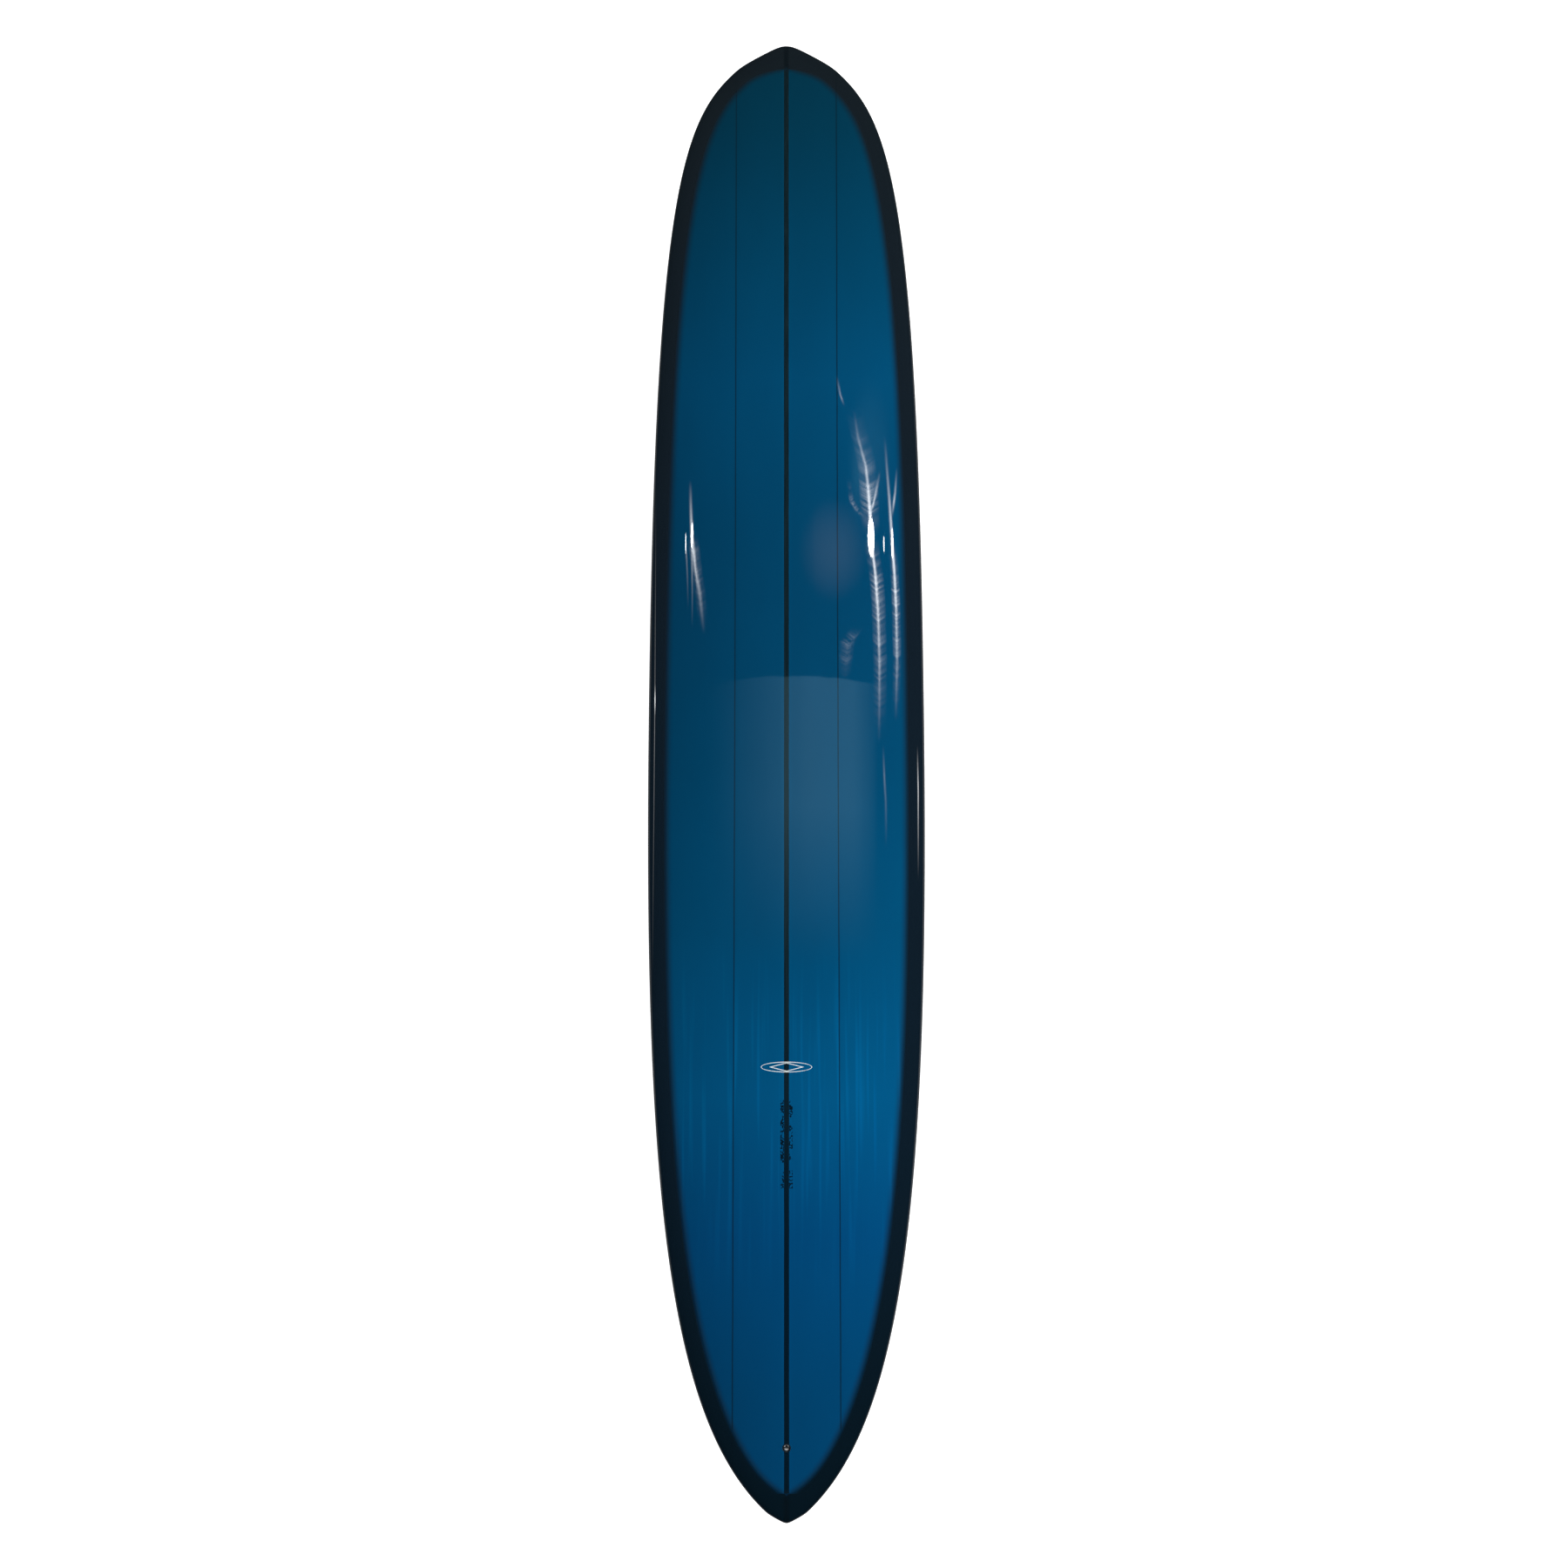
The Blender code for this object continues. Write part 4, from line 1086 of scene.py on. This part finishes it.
glint("lamp_left_a", -0.197, 0.462, (0.066, 0.072), 60)
glint("lamp_left_b", -0.211, 0.445, (0.028, 0.062), 32)
glint("lamp_right_a", 0.177, 0.456, (0.155, 0.115), 110)
glint("lamp_right_b", 0.2037, 0.443, (0.028, 0.048), 36)
glint("lamp_right_c", 0.2215, 0.446, (0.080, 0.086), 85)
print("lamps hung")

# %% [markdown]
# ## Reflected ribbons
# Long thin lights beside the lamps draw tapering streaks up and down the gloss, and along each
# rail. Each is designed where it should be seen on the deck, mirrored up to a height, and
# carries its brightness as a vertex attribute, so it can fade at its edges.

# %% Ribbons
def reflector(name, x, y, distance, strength, brightness, tint=(1, 1, 1)):
    """A grid of deck points (x, y) mirrored out to a distance. strength, from 0 to 1 at each
    point, times brightness is its light. Only reflections see it."""
    spot, way = mirrored(x, y)
    mesh = bpy.data.meshes.new(name)
    mesh.from_pydata((spot + way * distance).reshape(-1, 3), [], grid_faces(*x.shape))
    glow = mesh.attributes.new("glow", "FLOAT", "POINT").data
    glow.foreach_set("value", strength.astype(np.float32).ravel())
    made = bpy.data.objects.new(name, mesh)
    bpy.context.scene.collection.objects.link(made)
    paint(glow_material(name, tint, brightness, fading=True), made)
    made.visible_camera = made.visible_diffuse = made.visible_shadow = made.visible_transmission = False


ROW_STEP, HAIR_SLOPE = 0.0010, 0.35


def streak(name, path, width, brightness, peak=0.5, hairs=False):
    """A ribbon along a path of deck points. Its strength rises to the peak, a share of the length,
    and falls again, to the power 1.5, and fades to both edges. hairs breaks it into cross lines."""
    path = np.array(path, float)
    steps = np.concatenate(([0.0], np.cumsum(np.hypot(*np.diff(path, axis=0).T))))
    s = np.linspace(0, 1, int(steps[-1] / ROW_STEP))
    x, y = (np.interp(s * steps[-1], steps, path[:, k])[:, None] for k in (0, 1))
    t = np.linspace(-1, 1, 9)[None, :]
    rise = np.minimum(s / peak, (1 - s) / (1 - peak))[:, None] ** 1.5
    strength = rise * (1 - np.abs(t)) ** (1.0 if hairs else 1.5)
    if hairs:
        strength = strength * np.random.default_rng(len(s)).random(s.shape)[:, None] ** 3
    slope = HAIR_SLOPE * np.abs(t) if hairs else 0.0
    reflector(name, x + t * width / 2, y + slope * width + 0 * t, LAMP_AWAY, strength, brightness)


LEFT = [(-0.202, 0.580), (-0.200, 0.515), (-0.197, 0.460), (-0.190, 0.395), (-0.181, 0.340), (-0.171, 0.250)]
RIGHT = [(0.141, 0.730), (0.150, 0.673), (0.167, 0.608), (0.172, 0.562), (0.175, 0.506), (0.177, 0.450),
         (0.186, 0.377), (0.191, 0.303), (0.194, 0.192), (0.192, 0.020)]
OUTER = [(0.206, 0.675), (0.211, 0.600), (0.216, 0.536), (0.221, 0.448), (0.226, 0.378), (0.229, 0.304),
         (0.230, 0.194), (0.226, 0.065)]
streak("flare_left", LEFT, 0.010, 18, peak=0.36)
streak("hair_left_a", [(-0.197, 0.46), (-0.196, 0.34), (-0.197, 0.26)], 0.006, 6, peak=0.2)
streak("hair_left_b", [(-0.211, 0.45), (-0.208, 0.38), (-0.206, 0.30)], 0.005, 4, peak=0.2)
streak("haze_left", LEFT[2:], 0.024, 9, peak=0.20, hairs=True)
streak("flare_right", RIGHT, 0.010, 26, peak=0.36)
streak("haze_right_a", RIGHT[:6], 0.042, 16, peak=0.75, hairs=True)
streak("haze_right_b", RIGHT[5:], 0.032, 18, peak=0.16, hairs=True)
streak("kink_a", [(0.128, 0.580), (0.134, 0.530), (0.150, 0.506), (0.172, 0.496)], 0.014, 12, peak=0.6,
       hairs=True)
streak("kink_b", [(0.197, 0.600), (0.187, 0.545), (0.174, 0.500)], 0.008, 16, peak=0.7)
streak("flare_outer", OUTER, 0.009, 23, peak=0.40)
streak("haze_outer", OUTER[3:], 0.020, 20, peak=0.3, hairs=True)
streak("kink_outer", [(0.232, 0.610), (0.228, 0.555), (0.221, 0.500)], 0.007, 14, peak=0.7)
streak("wisp_a", [(0.120, 0.150), (0.127, 0.225), (0.154, 0.262)], 0.030, 8, peak=0.6, hairs=True)
streak("wisp_b", [(0.105, 0.800), (0.112, 0.760), (0.122, 0.735)], 0.007, 7, peak=0.7)
streak("wisp_c", [(0.200, 0.02), (0.204, -0.10), (0.203, -0.20)], 0.006, 3, peak=0.3)
streak("rail_left", [(-0.2750, 0.60), (-0.2735, 0.14), (-0.2735, -0.50)], 0.0022, 6)
streak("rail_left_spot", [(-0.2733, 0.15), (-0.2730, 0.08)], 0.0030, 30)
streak("rail_right", [(0.2712, 0.02), (0.2722, -0.075), (0.2706, -0.26)], 0.0036, 20, peak=0.3)
print("ribbons hung")

# %% [markdown]
# ## A pale card and soft patches
# A pale card high overhead gives the wide grey sheen in the middle of the deck, and its rounded
# edge draws an arch. Three soft ovals add faint patches of light nearer the nose.

# %% Card and patches
CARD_LEFT, CARD_WIDE, CARD_FOOT, CARD_HEAD, ARCH_DROP = -0.170, 0.360, -0.44, 0.1610, 0.0185
across, along = np.linspace(0, 1, 41)[None, :], np.linspace(0, 1, 41)[:, None]
card_x = CARD_LEFT + CARD_WIDE * across + 0 * along
card_y = CARD_FOOT + (CARD_HEAD - ARCH_DROP * (2 * across - 1.04) ** 2 - CARD_FOOT) * along
side = np.clip(across / 0.60, 0, 1) ** 1.4 * np.clip((1 - across) / 0.14, 0, 1)
strength = side * np.clip(along / 0.55, 0, 1) ** 1.3
reflector("middle_card", card_x, card_y, CARD_AWAY, strength, 1.08, tint=(0.40, 0.80, 1.0))


def blot(name, x, y, wide, long, brightness, tint):
    """A soft oval: one minus the squared distance from its middle, to the power 1.5."""
    u, v = np.meshgrid(np.linspace(-1, 1, 25), np.linspace(-1, 1, 25))
    strength = np.clip(1 - u ** 2 - v ** 2, 0, 1) ** 1.5
    reflector(name, x + wide * u, y + long * v, CARD_AWAY, strength, brightness, tint)


WARM, COOL = (0.90, 0.86, 0.82), (0.30, 0.82, 1.0)
blot("blot_low", 0.098, 0.428, 0.076, 0.115, 0.52, WARM)
blot("blot_high", 0.176, 0.640, 0.052, 0.170, 0.42, COOL)
blot("blot_side", 0.150, 0.590, 0.022, 0.120, 0.40, COOL)
print("card and patches hung")
